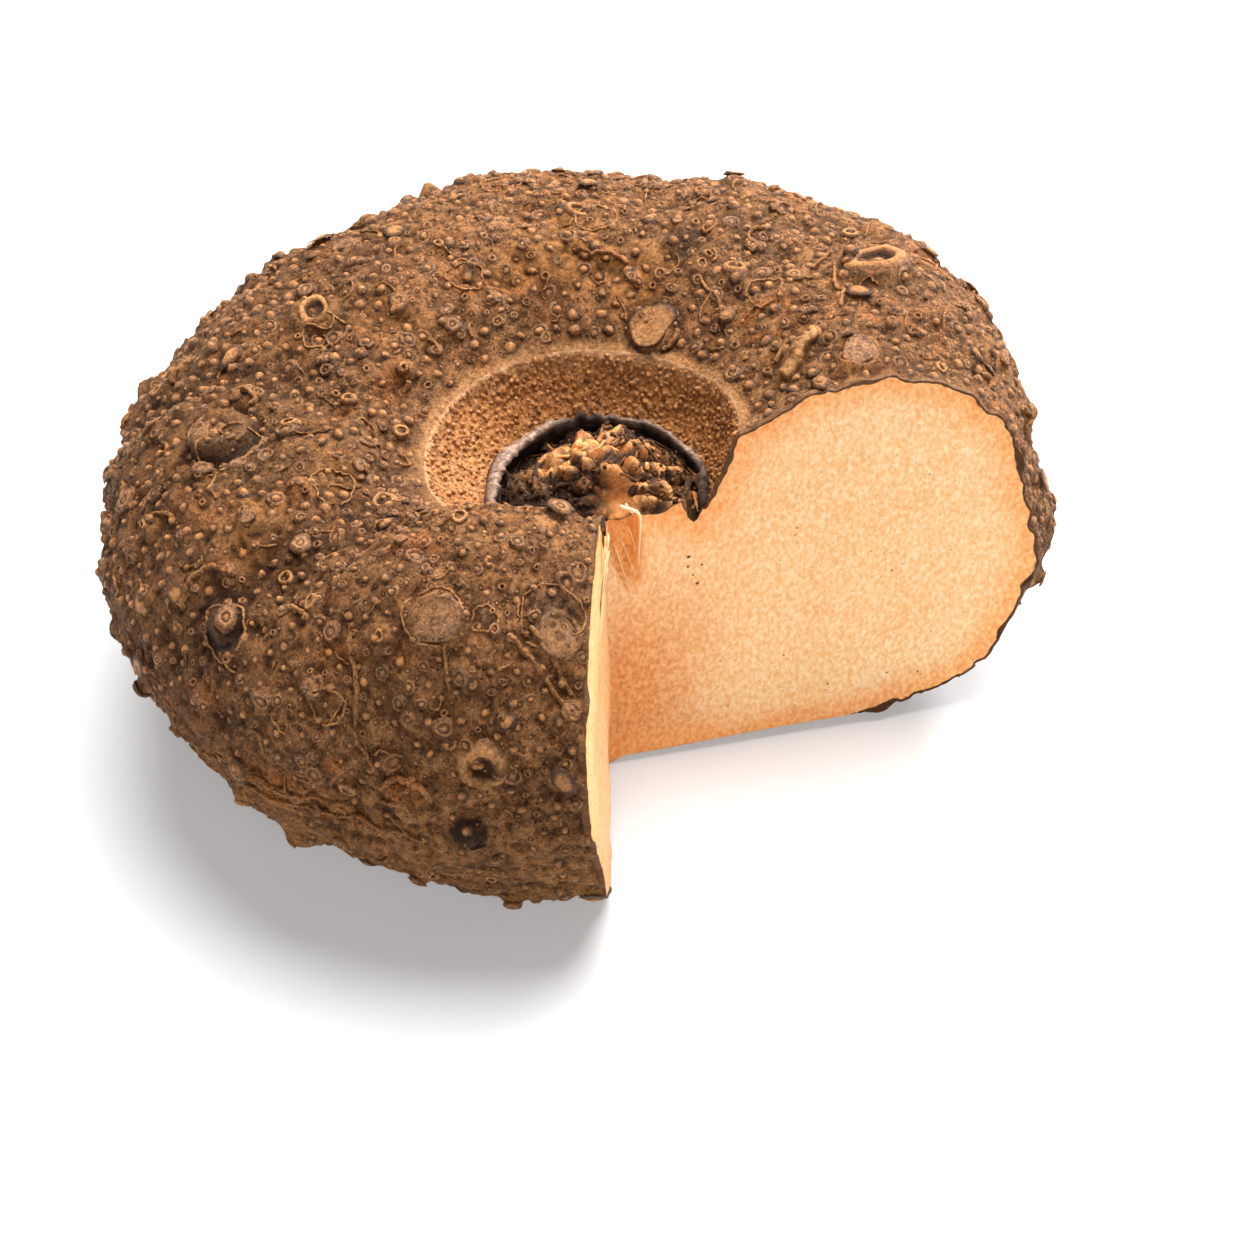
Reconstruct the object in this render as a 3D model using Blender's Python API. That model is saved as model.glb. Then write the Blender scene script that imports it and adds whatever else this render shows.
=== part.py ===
"""Elephant foot yam: a corm about 26 cm across, whole but for one wedge that a knife took out.

The corm grew as one piece, so it is one solid. Its form is a round of radial sections that swell up from
a flat foot to a thick shoulder and dip into the crater where last year's stalk stood. Metres, +Z up. The
origin is on the ground under the middle of the corm, and the gap of the wedge opens towards -Y and +X.
"""

import math
import random

import bmesh
import bpy
import numpy as np
from mathutils import Vector, kdtree

# The two cuts meet on one upright line. Angles run from +X towards +Y. The second cut leans towards the
# foot, where it ends CUT_LEAN further round.
CUT_CORNER = np.array([0.0066, -0.0395, 0.0])
CUT_START = math.radians(14.0)
CUT_END = math.radians(266.0)
CUT_LEAN = math.radians(5.0)
LEAN_STATIONS = (3.5, 5.0)

# The radial section, at eight directions 45 degrees apart from +X: right, back right, back, back left, left,
# front left, front and front right. Radii are from the cut corner, and heights from the ground.
REACH = (0.103, 0.148, 0.158, 0.152, 0.129, 0.100, 0.080, 0.090)
REACH_HEIGHT = (0.047, 0.046, 0.046, 0.050, 0.054, 0.052, 0.050, 0.048)
CREST = (0.064, 0.080, 0.084, 0.078, 0.066, 0.044, 0.028, 0.042)
CREST_HEIGHT = (0.114, 0.115, 0.1165, 0.112, 0.105, 0.111, 0.1035, 0.106)
RIM = (0.031, 0.044, 0.052, 0.053, 0.045, 0.028, 0.020, 0.024)
RIM_HEIGHT = (0.104, 0.101, 0.099, 0.097, 0.092, 0.097, 0.0955, 0.100)
SCAR = (0.022, 0.034, 0.042, 0.038, 0.027, 0.016, 0.010, 0.014)
FOOT = (0.066, 0.068, 0.072, 0.076, 0.078, 0.060, 0.051, 0.052)
UNDERSIDE_POWER = (1.9, 1.9, 1.8, 1.6, 1.45, 1.4, 1.45, 1.7)
SHOULDER_POWER = 2.1
LINING_POWER = 1.3
SCAR_HEIGHT = 0.082

# The underside is nearly flat, and ends in a flat spot where the corm has settled on the ground.
FOOT_PLACE = (-0.007, 0.010)
FOOT_DIP = 0.0014
FOOT_RISE = 0.0046
FOOT_SPREAD = 0.074

# What is left of the stalk, in the floor of the crater. BUD_PLACE is from the cut corner.
BUD_PLACE = (0.001, 0.017)
BUD_RADIUS = 0.021
BUD_HEIGHT = 0.011
BUD_KNUCKLE = 0.0011
COLLAR_HEIGHT = 0.0030
COLLAR_WIDTH = 0.0022
RIM_RIDGE_HEIGHT = 0.0008
RIM_RIDGE_WIDTH = 0.0018

# Broad folds in the skin: direction in degrees, station along the section, length round the corm, width
# along the section, and height. A negative height is a valley.
FOLDS = (
    (180, 2.45, 0.014, 0.020, -0.0034),
    (194, 2.90, 0.015, 0.024, -0.0048),
    (203, 3.32, 0.014, 0.032, -0.0054),
    (238, 3.35, 0.028, 0.030, 0.0028),
    (172, 3.55, 0.026, 0.030, 0.0020),
    (154, 3.05, 0.020, 0.020, -0.0026),
    (159, 3.42, 0.010, 0.034, -0.0026),
    (118, 3.45, 0.034, 0.030, 0.0018),
    (84, 3.30, 0.014, 0.036, -0.0024),
    (52, 3.40, 0.030, 0.034, 0.0018),
    (21, 4.06, 0.012, 0.020, 0.0052),
    (232, 4.30, 0.030, 0.012, 0.0016),
    (252, 4.10, 0.020, 0.012, -0.0016),
    (134, 4.30, 0.040, 0.018, 0.0026),
    (100, 4.05, 0.012, 0.026, -0.0024),
    (70, 4.40, 0.034, 0.018, 0.0026),
)

# The biggest knobs: direction in degrees, station, radius, height and form.
KNOBS = (
    (78, 2.17, 0.0062, 0.0034, "button"),
    (172, 3.30, 0.0080, 0.0036, "button"),
    (204, 3.61, 0.0070, 0.0044, "dome"),
    (249, 3.80, 0.0062, 0.0014, "ring"),
    (238, 3.95, 0.0070, 0.0038, "dome"),
    (247, 4.05, 0.0044, 0.0032, "dome"),
    (236, 3.41, 0.0072, 0.0016, "ring"),
    (259, 3.41, 0.0062, 0.0014, "ring"),
    (34, 2.50, 0.0060, 0.0024, "dome"),
    (23, 2.89, 0.0066, 0.0024, "ring"),
    (44, 3.16, 0.0092, 0.0028, "ring"),
    (144, 3.16, 0.0064, 0.0024, "ring"),
    (113, 3.39, 0.0040, 0.0042, "dome"),
    (53, 3.34, 0.0046, 0.0036, "dome"),
    (213, 4.50, 0.0076, 0.0058, "dome"),
    (30, 3.80, 0.0070, 0.0038, "dome"),
    (63, 3.60, 0.0080, 0.0032, "dome"),
    (104, 3.66, 0.0094, 0.0034, "dome"),
    (147, 4.10, 0.0086, 0.0038, "dome"),
    (88, 4.20, 0.0078, 0.0034, "ring"),
    (46, 4.35, 0.0080, 0.0034, "dome"),
    (172, 4.42, 0.0070, 0.0030, "dome"),
    (116, 4.52, 0.0072, 0.0030, "button"),
    (200, 4.60, 0.0064, 0.0026, "dome"),
)

# Root scars all over the skin, each a low round wart.
WART_SEED = 41
WART_GAP = 0.0145
WART_RADIUS = (0.0034, 0.0054)
WART_HEIGHT = (0.0012, 0.0022)
WART_STATIONS = (2.05, 4.90)
WART_TRIES = 16000

SWELL_SEED = 7
SWELL_WAVES = 14
SWELL_LENGTH = (0.024, 0.075)
SWELL_HEIGHT = 0.0010

# Where the relief of the skin comes in, past the crater's lining, and goes out, at the foot.
SKIN_START = (1.9, 2.4)
SKIN_END = (4.75, 5.10)

# Rows in each of the six stretches of the section: scar, lining, inner shoulder, outer shoulder,
# underside and foot.
ROWS = (16, 18, 18, 44, 34, 10)
COLUMNS = 250
FACE_STEPS = 16
# Heights on the cut corner from which the lines across a cut face start, at the end of each stretch.
CORE_HEIGHTS = (0.056, 0.053, 0.050, 0.038, 0.018, 0.0)

TRIANGLES = 11200
SKIN_COLOUR = (0.20, 0.125, 0.075, 1.0)
FLESH_COLOUR = (0.86, 0.55, 0.28, 1.0)


def around(values, angle):
    """A smooth curve round the corm, through eight values that are 45 degrees apart."""
    terms = np.fft.rfft(values) / len(values)
    turns = np.arange(len(terms))
    share = np.where((turns == 0) | (turns == len(values) // 2), 1.0, 2.0)
    waves = np.exp(1j * np.multiply.outer(np.asarray(angle, float), turns))
    return (waves * terms * share).real.sum(axis=-1)


def gauss(distance, width):
    return np.exp(-((distance / width) ** 2))


def smooth_step(x):
    x = np.clip(x, 0.0, 1.0)
    return x * x * (3.0 - 2.0 * x)


def ramp(x, ends):
    return smooth_step((x - ends[0]) / (ends[1] - ends[0]))


def ground_height(x, y):
    """Height of the underside, which rises a little from the flat spot to the edge of the foot."""
    away = np.hypot(x - FOOT_PLACE[0], y - FOOT_PLACE[1])
    return FOOT_RISE * smooth_step(away / FOOT_SPREAD) - FOOT_DIP


def bud_lift(x, y):
    """Height of the stalk's stump over the scar's floor, at places measured from the cut corner."""
    away = np.hypot(x - BUD_PLACE[0], y - BUD_PLACE[1]) / BUD_RADIUS
    knuckles = BUD_KNUCKLE * np.sin(x * 700 + 1.0) * np.sin(y * 610 + 0.5)
    return (BUD_HEIGHT + knuckles) * smooth_step(1.15 - away)


def section_point(angle, station):
    """(radius, height) on the section at this angle. The station's whole part is the stretch, from 0 at the
    scar to 5 at the foot, and its fraction is how far along that stretch."""
    stretch = min(int(station), 5)
    s = station - stretch
    quarter = s * math.pi / 2
    reach, reach_z = around(REACH, angle), around(REACH_HEIGHT, angle)
    crest, crest_z = around(CREST, angle), around(CREST_HEIGHT, angle)
    rim, rim_z = around(RIM, angle), around(RIM_HEIGHT, angle)
    scar, foot = around(SCAR, angle), around(FOOT, angle)
    if stretch == 0:
        radius = scar * s
        return radius, SCAR_HEIGHT + bud_lift(radius * np.cos(angle), radius * np.sin(angle))
    if stretch == 1:
        return scar + (rim - scar) * s, SCAR_HEIGHT + (rim_z - SCAR_HEIGHT) * s**LINING_POWER
    if stretch == 2:
        return rim + (crest - rim) * s, rim_z + (crest_z - rim_z) * math.sin(quarter)
    if stretch == 3:
        power = 2 / SHOULDER_POWER
        radius = crest + (reach - crest) * math.sin(quarter) ** power
        return radius, reach_z + (crest_z - reach_z) * math.cos(quarter) ** power
    power = 2 / around(UNDERSIDE_POWER, angle)
    radius = foot + (reach - foot) * math.cos(quarter) ** power if stretch == 4 else foot * (1 - s)
    low = ground_height(radius * np.cos(angle) + CUT_CORNER[0], radius * np.sin(angle) + CUT_CORNER[1])
    if stretch == 4:
        return radius, low + (reach_z - low) * (1 - math.sin(quarter) ** power)
    return radius, low


def stations_of(rows):
    ends = [stretch + row / count for stretch, count in enumerate(rows) for row in range(count)]
    return np.array([*ends, float(len(rows))])


def skin_grid():
    """Points of the plain form, one row for each station, with the stations and each point's angle."""
    stations = stations_of(ROWS)
    ends = CUT_END + CUT_LEAN * ramp(stations, LEAN_STATIONS)
    angles = CUT_START + np.multiply.outer(ends - CUT_START, np.linspace(0, 1, COLUMNS))
    points = np.empty((len(stations), COLUMNS, 3))
    for row, station in enumerate(stations):
        radius, height = section_point(angles[row], station)
        points[row, :, 0] = radius * np.cos(angles[row])
        points[row, :, 1] = radius * np.sin(angles[row])
        points[row, :, 2] = height
    return points + CUT_CORNER, stations, angles


def grid_normals(points):
    normals = np.cross(np.gradient(points, axis=0), np.gradient(points, axis=1))
    normals = normals / np.maximum(np.linalg.norm(normals, axis=2, keepdims=True), 1e-12)
    normals[0], normals[-1] = (0, 0, 1), (0, 0, -1)
    return normals


def place_of(direction, station):
    angle = math.radians(direction)
    radius, height = section_point(np.array([angle]), station)
    flat = Vector((radius[0] * math.cos(angle), radius[0] * math.sin(angle), height[0]))
    return flat + Vector(CUT_CORNER)


def swell(points):
    """Slow uneven swelling of the whole skin: a seeded sum of waves."""
    draw = random.Random(SWELL_SEED)
    total = np.zeros(points.shape[:-1])
    for _ in range(SWELL_WAVES):
        heading = Vector([draw.gauss(0, 1) for _ in range(3)]).normalized()
        length = draw.uniform(*SWELL_LENGTH)
        phase = draw.uniform(0, 2 * math.pi)
        total += np.sin(points @ np.array(heading) * (2 * math.pi / length) + phase)
    return total * SWELL_HEIGHT / math.sqrt(SWELL_WAVES / 2)


def fold_relief(points):
    """Broad valleys and lobes, each longer one way than the other."""
    total = np.zeros(points.shape[:-1])
    for direction, station, length, width, height in FOLDS:
        angle = math.radians(direction)
        away = points - np.array(place_of(direction, station))
        round_ = away @ np.array([-math.sin(angle), math.cos(angle), 0.0])
        along = np.sqrt(np.maximum((away**2).sum(axis=-1) - round_**2, 0.0))
        total += height * gauss(round_, length) * gauss(along, width)
    return total


def knob_form(q, form):
    """Relative height of a knob at q radii from its middle."""
    if form == "button":
        return smooth_step((1.12 - q) / 0.32) - 0.30 * gauss(q - 1.28, 0.16)
    if form == "ring":
        return gauss(q - 0.78, 0.22) + 0.75 * gauss(q, 0.26)
    return smooth_step(1.0 - q) ** 0.7


def wart_places(points, stations):
    """Seeded places on the skin, as even as dart throwing leaves them."""
    along = np.linalg.norm(np.gradient(points, axis=0), axis=2)
    round_ = np.linalg.norm(np.gradient(points, axis=1), axis=2)
    wanted = (stations >= WART_STATIONS[0]) & (stations <= WART_STATIONS[1])
    share = (along * round_ * wanted[:, None]).ravel()
    places = points.reshape(-1, 3)
    draw = random.Random(WART_SEED)
    kept = []
    for index in draw.choices(range(len(places)), weights=share.tolist(), k=WART_TRIES):
        spot = places[index]
        if not kept or np.min(np.sum((np.array(kept) - spot) ** 2, axis=1)) > WART_GAP**2:
            kept.append(spot)
    return [Vector(spot) for spot in kept]


def all_knobs(points, stations):
    """(place, radius, height, form) of each knob and wart, the named ones first."""
    named = [(place_of(d, s), radius, height, form) for d, s, radius, height, form in KNOBS]
    draw = random.Random(WART_SEED)
    warts = []
    for place in wart_places(points, stations):
        radius, height = draw.uniform(*WART_RADIUS), draw.uniform(*WART_HEIGHT)
        if all((place - knob[0]).length > knob[1] + radius for knob in named):
            warts.append((place, radius, height, "dome"))
    return named + warts


def knob_relief(points, knobs):
    """Height that the knobs add to each point, the greatest where they meet."""
    flat = points.reshape(-1, 3)
    tree = kdtree.KDTree(len(flat))
    for index, point in enumerate(flat):
        tree.insert(point, index)
    tree.balance()
    total = np.zeros(len(flat))
    for place, radius, height, form in knobs:
        found = tree.find_range(place, radius * 1.7)
        index = np.array([f[1] for f in found])
        lift = height * knob_form(np.array([f[2] for f in found]) / radius, form)
        total[index] = np.where(np.abs(lift) > np.abs(total[index]), lift, total[index])
    return total.reshape(points.shape[:-1])


def ring_relief(points, stations, angles):
    """The stalk's torn collar round the scar, and the fine ridge round the crater's lining."""
    radius = np.hypot(points[..., 0] - CUT_CORNER[0], points[..., 1] - CUT_CORNER[1])
    ragged = 0.85 + 0.15 * np.sin(angles * 23) * np.sin(angles * 11 + 1.0)
    collar = COLLAR_HEIGHT * ragged * gauss(radius - around(SCAR, angles), COLLAR_WIDTH)
    ridge = RIM_RIDGE_HEIGHT * gauss(radius - around(RIM, angles), RIM_RIDGE_WIDTH)
    return np.where(stations[:, None] < 3.0, collar + ridge, 0.0)


def onto_cut(points, angles, column):
    """Brings the skin's first or last column back onto its cut after the relief has moved it."""
    across = np.stack([-np.sin(angles[:, column]), np.cos(angles[:, column]), 0 * angles[:, column]], 1)
    off = ((points[:, column] - CUT_CORNER) * across).sum(axis=1)
    points[:, column] -= off[:, None] * across


def skin_points():
    points, stations, angles = skin_grid()
    skin = (ramp(stations, SKIN_START) * (1 - ramp(stations, SKIN_END)))[:, None]
    relief = skin * (swell(points) + fold_relief(points) + knob_relief(points, all_knobs(points, stations)))
    relief += ring_relief(points, stations, angles)
    moved = points + grid_normals(points) * relief[..., None]
    onto_cut(moved, angles, 0)
    onto_cut(moved, angles, -1)
    return moved, stations


def corm_mesh():
    """The closed form: the skin, and the two cut faces with the upright line where they meet."""
    points, stations = skin_points()
    rows, columns, _ = points.shape
    core = np.zeros((rows, 3)) + CUT_CORNER
    core[:, 2] = np.interp(stations, range(1, len(CORE_HEIGHTS) + 1), CORE_HEIGHTS)
    core[0, 2], core[-1, 2] = points[0, 0, 2], points[-1, 0, 2]

    bm = bmesh.new()
    spine = [bm.verts.new(place) for place in core]
    skin = [[bm.verts.new(place) for place in row] for row in points[1:-1]]
    skin = [[spine[0]] * columns, *skin, [spine[-1]] * columns]

    def across(row, column):
        """Vertices of one line over a cut face, from the spine to the skin."""
        outer = skin[row][column]
        if outer is spine[row]:
            return [outer] * (FACE_STEPS + 1)
        start, end = core[row], points[row, column]
        inner = [bm.verts.new(start + (end - start) * k / FACE_STEPS) for k in range(1, FACE_STEPS)]
        return [spine[row], *inner, outer]

    def fill(lines, material):
        for upper, lower in zip(lines, lines[1:]):
            for k in range(len(upper) - 1):
                corners = list(dict.fromkeys((upper[k], lower[k], lower[k + 1], upper[k + 1])))
                if len(corners) > 2:
                    bm.faces.new(corners).material_index = material

    fill(skin, 0)
    fill([across(row, 0) for row in range(rows)], 1)
    fill([across(row, columns - 1) for row in range(rows)], 1)
    bmesh.ops.recalc_face_normals(bm, faces=bm.faces)
    mesh = bpy.data.meshes.new("corm")
    bm.to_mesh(mesh)
    bm.free()
    return mesh


def flatten_foot(mesh):
    """Cuts the underside off at the ground, which leaves the flat spot that the corm rests on."""
    bm = bmesh.new()
    bm.from_mesh(mesh)
    everything = [*bm.verts, *bm.edges, *bm.faces]
    ground = {"plane_co": (0, 0, 0), "plane_no": (0, 0, 1)}
    bmesh.ops.bisect_plane(bm, geom=everything, dist=1e-6, clear_inner=True, **ground)
    bmesh.ops.holes_fill(bm, edges=[e for e in bm.edges if e.is_boundary], sides=0)
    bmesh.ops.triangulate(bm, faces=[f for f in bm.faces if len(f.verts) > 3])
    bm.to_mesh(mesh)
    bm.free()


def material(name, colour, roughness):
    made = bpy.data.materials.new(name)
    made.use_nodes = True
    shader = made.node_tree.nodes["Principled BSDF"]
    shader.inputs["Base Color"].default_value = colour
    shader.inputs["Roughness"].default_value = roughness
    return made


def thin_out(corm):
    """Leaves about TRIANGLES of the mesh's triangles, most of them where the form turns."""
    corm.data.calc_loop_triangles()
    thin = corm.modifiers.new("thin", "DECIMATE")
    thin.use_collapse_triangulate = True
    thin.ratio = TRIANGLES / len(corm.data.loop_triangles)
    graph = bpy.context.evaluated_depsgraph_get()
    mesh = bpy.data.meshes.new_from_object(corm.evaluated_get(graph))
    corm.modifiers.clear()
    corm.data = mesh


def main():
    for obj in list(bpy.data.objects):
        bpy.data.objects.remove(obj)
    corm = bpy.data.objects.new("corm", corm_mesh())
    bpy.context.scene.collection.objects.link(corm)
    corm.data.materials.append(material("corm_skin", SKIN_COLOUR, 0.85))
    corm.data.materials.append(material("corm_flesh", FLESH_COLOUR, 0.55))
    thin_out(corm)
    flatten_foot(corm.data)
    corm.data.shade_smooth()
    corm.data.set_sharp_from_angle(angle=math.radians(40))


main()
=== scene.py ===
import math
import random

import bpy
import numpy as np
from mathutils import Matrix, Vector, geometry, kdtree


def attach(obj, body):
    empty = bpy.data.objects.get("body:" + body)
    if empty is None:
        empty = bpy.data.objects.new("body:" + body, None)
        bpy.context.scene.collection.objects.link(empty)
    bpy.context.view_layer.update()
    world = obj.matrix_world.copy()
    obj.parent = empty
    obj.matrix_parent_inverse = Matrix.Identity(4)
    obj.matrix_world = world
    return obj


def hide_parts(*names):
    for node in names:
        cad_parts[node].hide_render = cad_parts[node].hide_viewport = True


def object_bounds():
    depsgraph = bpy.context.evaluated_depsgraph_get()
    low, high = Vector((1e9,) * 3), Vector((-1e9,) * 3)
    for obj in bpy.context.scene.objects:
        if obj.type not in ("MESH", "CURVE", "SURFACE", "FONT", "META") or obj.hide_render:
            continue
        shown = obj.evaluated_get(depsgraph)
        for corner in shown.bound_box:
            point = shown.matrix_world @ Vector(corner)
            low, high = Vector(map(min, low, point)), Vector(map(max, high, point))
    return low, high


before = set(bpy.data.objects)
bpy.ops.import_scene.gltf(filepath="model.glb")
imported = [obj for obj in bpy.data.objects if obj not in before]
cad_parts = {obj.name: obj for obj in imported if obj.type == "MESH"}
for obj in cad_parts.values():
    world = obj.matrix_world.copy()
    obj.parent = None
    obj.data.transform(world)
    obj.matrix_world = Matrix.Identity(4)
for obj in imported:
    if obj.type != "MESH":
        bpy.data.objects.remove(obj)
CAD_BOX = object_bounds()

# The form of the corm, as part.py has it. Metres, +Z up.
CUT_CORNER = np.array([0.0066, -0.0395, 0.0])
CUT_START = math.radians(14.0)
CUT_END = math.radians(266.0)
CUT_LEAN = math.radians(5.0)
LEAN_STATIONS = (3.5, 5.0)
REACH = (0.103, 0.148, 0.158, 0.152, 0.129, 0.100, 0.080, 0.090)
REACH_HEIGHT = (0.047, 0.046, 0.046, 0.050, 0.054, 0.052, 0.050, 0.048)
CREST = (0.064, 0.080, 0.084, 0.078, 0.066, 0.044, 0.028, 0.042)
CREST_HEIGHT = (0.114, 0.115, 0.1165, 0.112, 0.105, 0.111, 0.1035, 0.106)
RIM = (0.031, 0.044, 0.052, 0.053, 0.045, 0.028, 0.020, 0.024)
RIM_HEIGHT = (0.104, 0.101, 0.099, 0.097, 0.092, 0.097, 0.0955, 0.100)
SCAR = (0.022, 0.034, 0.042, 0.038, 0.027, 0.016, 0.010, 0.014)
FOOT = (0.066, 0.068, 0.072, 0.076, 0.078, 0.060, 0.051, 0.052)
UNDERSIDE_POWER = (1.9, 1.9, 1.8, 1.6, 1.45, 1.4, 1.45, 1.7)
SHOULDER_POWER = 2.1
LINING_POWER = 1.3
SCAR_HEIGHT = 0.082
FOOT_PLACE = (-0.007, 0.010)
FOOT_DIP = 0.0014
FOOT_RISE = 0.0046
FOOT_SPREAD = 0.074
BUD_PLACE = (0.001, 0.017)
BUD_RADIUS = 0.021
BUD_HEIGHT = 0.011
RIM_RIDGE_HEIGHT = 0.0008
RIM_RIDGE_WIDTH = 0.0018
FOLDS = (
    (180, 2.45, 0.014, 0.020, -0.0034),
    (194, 2.90, 0.015, 0.024, -0.0048),
    (203, 3.32, 0.014, 0.032, -0.0054),
    (238, 3.35, 0.028, 0.030, 0.0028),
    (172, 3.55, 0.026, 0.030, 0.0020),
    (154, 3.05, 0.020, 0.020, -0.0026),
    (159, 3.42, 0.010, 0.034, -0.0026),
    (118, 3.45, 0.034, 0.030, 0.0018),
    (84, 3.30, 0.014, 0.036, -0.0024),
    (52, 3.40, 0.030, 0.034, 0.0018),
    (21, 4.06, 0.012, 0.020, 0.0052),
    (232, 4.30, 0.030, 0.012, 0.0016),
    (252, 4.10, 0.020, 0.012, -0.0016),
    (134, 4.30, 0.040, 0.018, 0.0026),
    (100, 4.05, 0.012, 0.026, -0.0024),
    (70, 4.40, 0.034, 0.018, 0.0026),
)
# Direction, station, radius, height, form and colouring of each named knob.
KNOBS = (
    (78, 2.17, 0.0062, 0.0034, "button", "tan"),
    (172, 3.30, 0.0080, 0.0036, "button", "plain"),
    (204, 3.61, 0.0070, 0.0044, "dome", "grey"),
    (249, 3.80, 0.0062, 0.0014, "pit", "ring"),
    (238, 3.95, 0.0070, 0.0038, "dome", "plain"),
    (247, 4.05, 0.0044, 0.0032, "dome", "black"),
    (236, 3.41, 0.0072, 0.0016, "ring", "plain"),
    (259, 3.41, 0.0062, 0.0014, "ring", "plain"),
    (34, 2.50, 0.0060, 0.0024, "dome", "pale"),
    (23, 2.89, 0.0066, 0.0024, "ring", "plain"),
    (44, 3.16, 0.0092, 0.0028, "ring", "pale"),
    (144, 3.16, 0.0064, 0.0024, "ring", "plain"),
    (113, 3.39, 0.0040, 0.0042, "dome", "plain"),
    (53, 3.34, 0.0046, 0.0036, "dome", "plain"),
    (213, 4.50, 0.0076, 0.0046, "dome", "plain"),
    (30, 3.80, 0.0070, 0.0038, "dome", "plain"),
    (63, 3.60, 0.0080, 0.0032, "dome", "plain"),
    (104, 3.66, 0.0094, 0.0034, "dome", "grey"),
    (147, 4.10, 0.0086, 0.0038, "dome", "plain"),
    (88, 4.20, 0.0078, 0.0034, "ring", "ring"),
    (46, 4.35, 0.0080, 0.0034, "dome", "plain"),
    (172, 4.42, 0.0070, 0.0030, "dome", "grey"),
    (116, 4.52, 0.0072, 0.0030, "button", "tan"),
    (200, 4.60, 0.0064, 0.0026, "dome", "plain"),
)
# Coloured patches of the skin: direction, station, radius, mask and strength. The wide dark ones on the left
# side are painted shade.
STAINS_AND_SHADE = (
    (74.7, 2.92, 0.0075, "dark", 0.85),
    (66, 2.72, 0.0060, "dark", 0.60),
    (100, 2.78, 0.0150, "glow", 0.42),
    (82, 2.50, 0.0110, "glow", 0.38),
    (112, 2.62, 0.0090, "glow", 0.34),
    (140, 2.90, 0.0110, "glow", 0.30),
    (194, 3.30, 0.0120, "glow", 0.36),
    (186, 3.05, 0.0100, "glow", 0.32),
    (150, 3.40, 0.0120, "dark", 0.40),
    (183, 3.20, 0.0110, "dark", 0.45),
    (205, 3.64, 0.0078, "grey", 1.00),
    (256.6, 3.35, 0.0072, "grey", 0.70),
    (243.6, 3.385, 0.0026, "grey", 0.80),
    (175.6, 3.29, 0.0080, "grey", 0.60),
    (28, 3.55, 0.0100, "glow", 0.36),
    (21, 4.06, 0.0100, "dark", 0.60),
    # Wide dark patches on the left side: painted shade that darkens that side.
    (166, 3.50, 0.0420, "dark", 0.52),
    (138, 3.25, 0.0340, "dark", 0.34),
    (196, 3.80, 0.0340, "dark", 0.40),
    (206, 3.40, 0.0300, "dark", 0.26),
    (222, 3.30, 0.0220, "dark", 0.18),
    (60, 3.10, 0.0090, "grey", 0.40),
    (128, 3.10, 0.0080, "grey", 0.40),
)
WART_SEED = 41
WART_GAP = 0.0145
WART_RADIUS = (0.0034, 0.0054)
WART_HEIGHT = (0.0012, 0.0022)
WART_STATIONS = (2.05, 4.90)
WART_TRIES = 16000
SWELL = (7, 14, (0.024, 0.075), 0.0010)
RIPPLE = (19, 44, (0.006, 0.015), 0.00034)
CRINKLE = (53, 60, (0.0028, 0.0065), 0.00030)
SKIN_START = (1.9, 2.4)
SKIN_END = (4.75, 5.10)
CAD_ROWS = (16, 18, 18, 44, 34, 10)
CAD_COLUMNS = 250

# The fine mesh of the corm, before it is thinned.
ROWS = (40, 44, 40, 122, 84, 18)
COLUMNS = 620
BODY_TRIANGLES = 194000
# The cut faces: how far apart their inner points are, and how thick the skin is along their outline.
FACE_GRID = 0.0013
PEEL_DEPTH = 0.00032
LEAN_CENTRE = 0.050
SPINE_POINTS = 60
# The dressed corm ends this far inside the solid's box.
BOX_MARGIN = 0.00002
# Fine relief of the skin, and how far the crater's moat and the torn middle of the stump are sunk.
CRINKLE_LIFT = 0.0002
WRINKLE_HEIGHT = 0.00038
MOAT_DEPTH = 0.0022
TORN_DEPTH = 0.0036
CAVITY_STEPS = 14
# The cut faces: the torn hollow, where the saw marks start, how far from the skin the flesh is stained, and
# how much painted shade darkens the left face.
HOLLOW_HEIGHT = 0.0770
HOLLOW_DEPTH = 0.0048
SAW_MARGIN = 0.003
RIM_STAIN = 0.0120
LEFT_FACE_SHADE = 0.42
# Where the skin is stretched and ochre, where it has fewer root scars, and the lobe with smaller ones.
LOW_STATIONS = (3.95, 4.45)
BARE_STATIONS = (3.75, 4.25)
LOBE_DIRECTIONS = (180, 215)
COLLAR_STEPS = 420
FIBRE_COUNT = 26
# Threads that ring a scar, and the least step of a route over the skin.
LOOP_LIFT = 0.0001
LOOP_WIDTH = 0.00065
LOOP_TAN = 0.75
ROUTE_STEP = 0.0004


def around(values, angle):
    """A smooth curve round the corm, through eight values that are 45 degrees apart."""
    terms = np.fft.rfft(values) / len(values)
    turns = np.arange(len(terms))
    share = np.where((turns == 0) | (turns == len(values) // 2), 1.0, 2.0)
    total = np.zeros(np.shape(angle))
    for term, turn, weight in zip(terms, turns, share):
        total = total + weight * (term.real * np.cos(turn * angle) - term.imag * np.sin(turn * angle))
    return total


def gauss(distance, width):
    return np.exp(-((distance / width) ** 2))


def smooth_step(x):
    x = np.clip(x, 0.0, 1.0)
    return x * x * (3.0 - 2.0 * x)


def ramp(x, ends):
    return smooth_step((x - ends[0]) / (ends[1] - ends[0]))


def ground_height(x, y):
    away = np.hypot(x - FOOT_PLACE[0], y - FOOT_PLACE[1])
    return np.maximum(FOOT_RISE * smooth_step(away / FOOT_SPREAD) - FOOT_DIP, 0.0)


def bud_lift(x, y):
    away = np.hypot(x - BUD_PLACE[0], y - BUD_PLACE[1]) / BUD_RADIUS
    return BUD_HEIGHT * smooth_step(1.15 - away)


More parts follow.
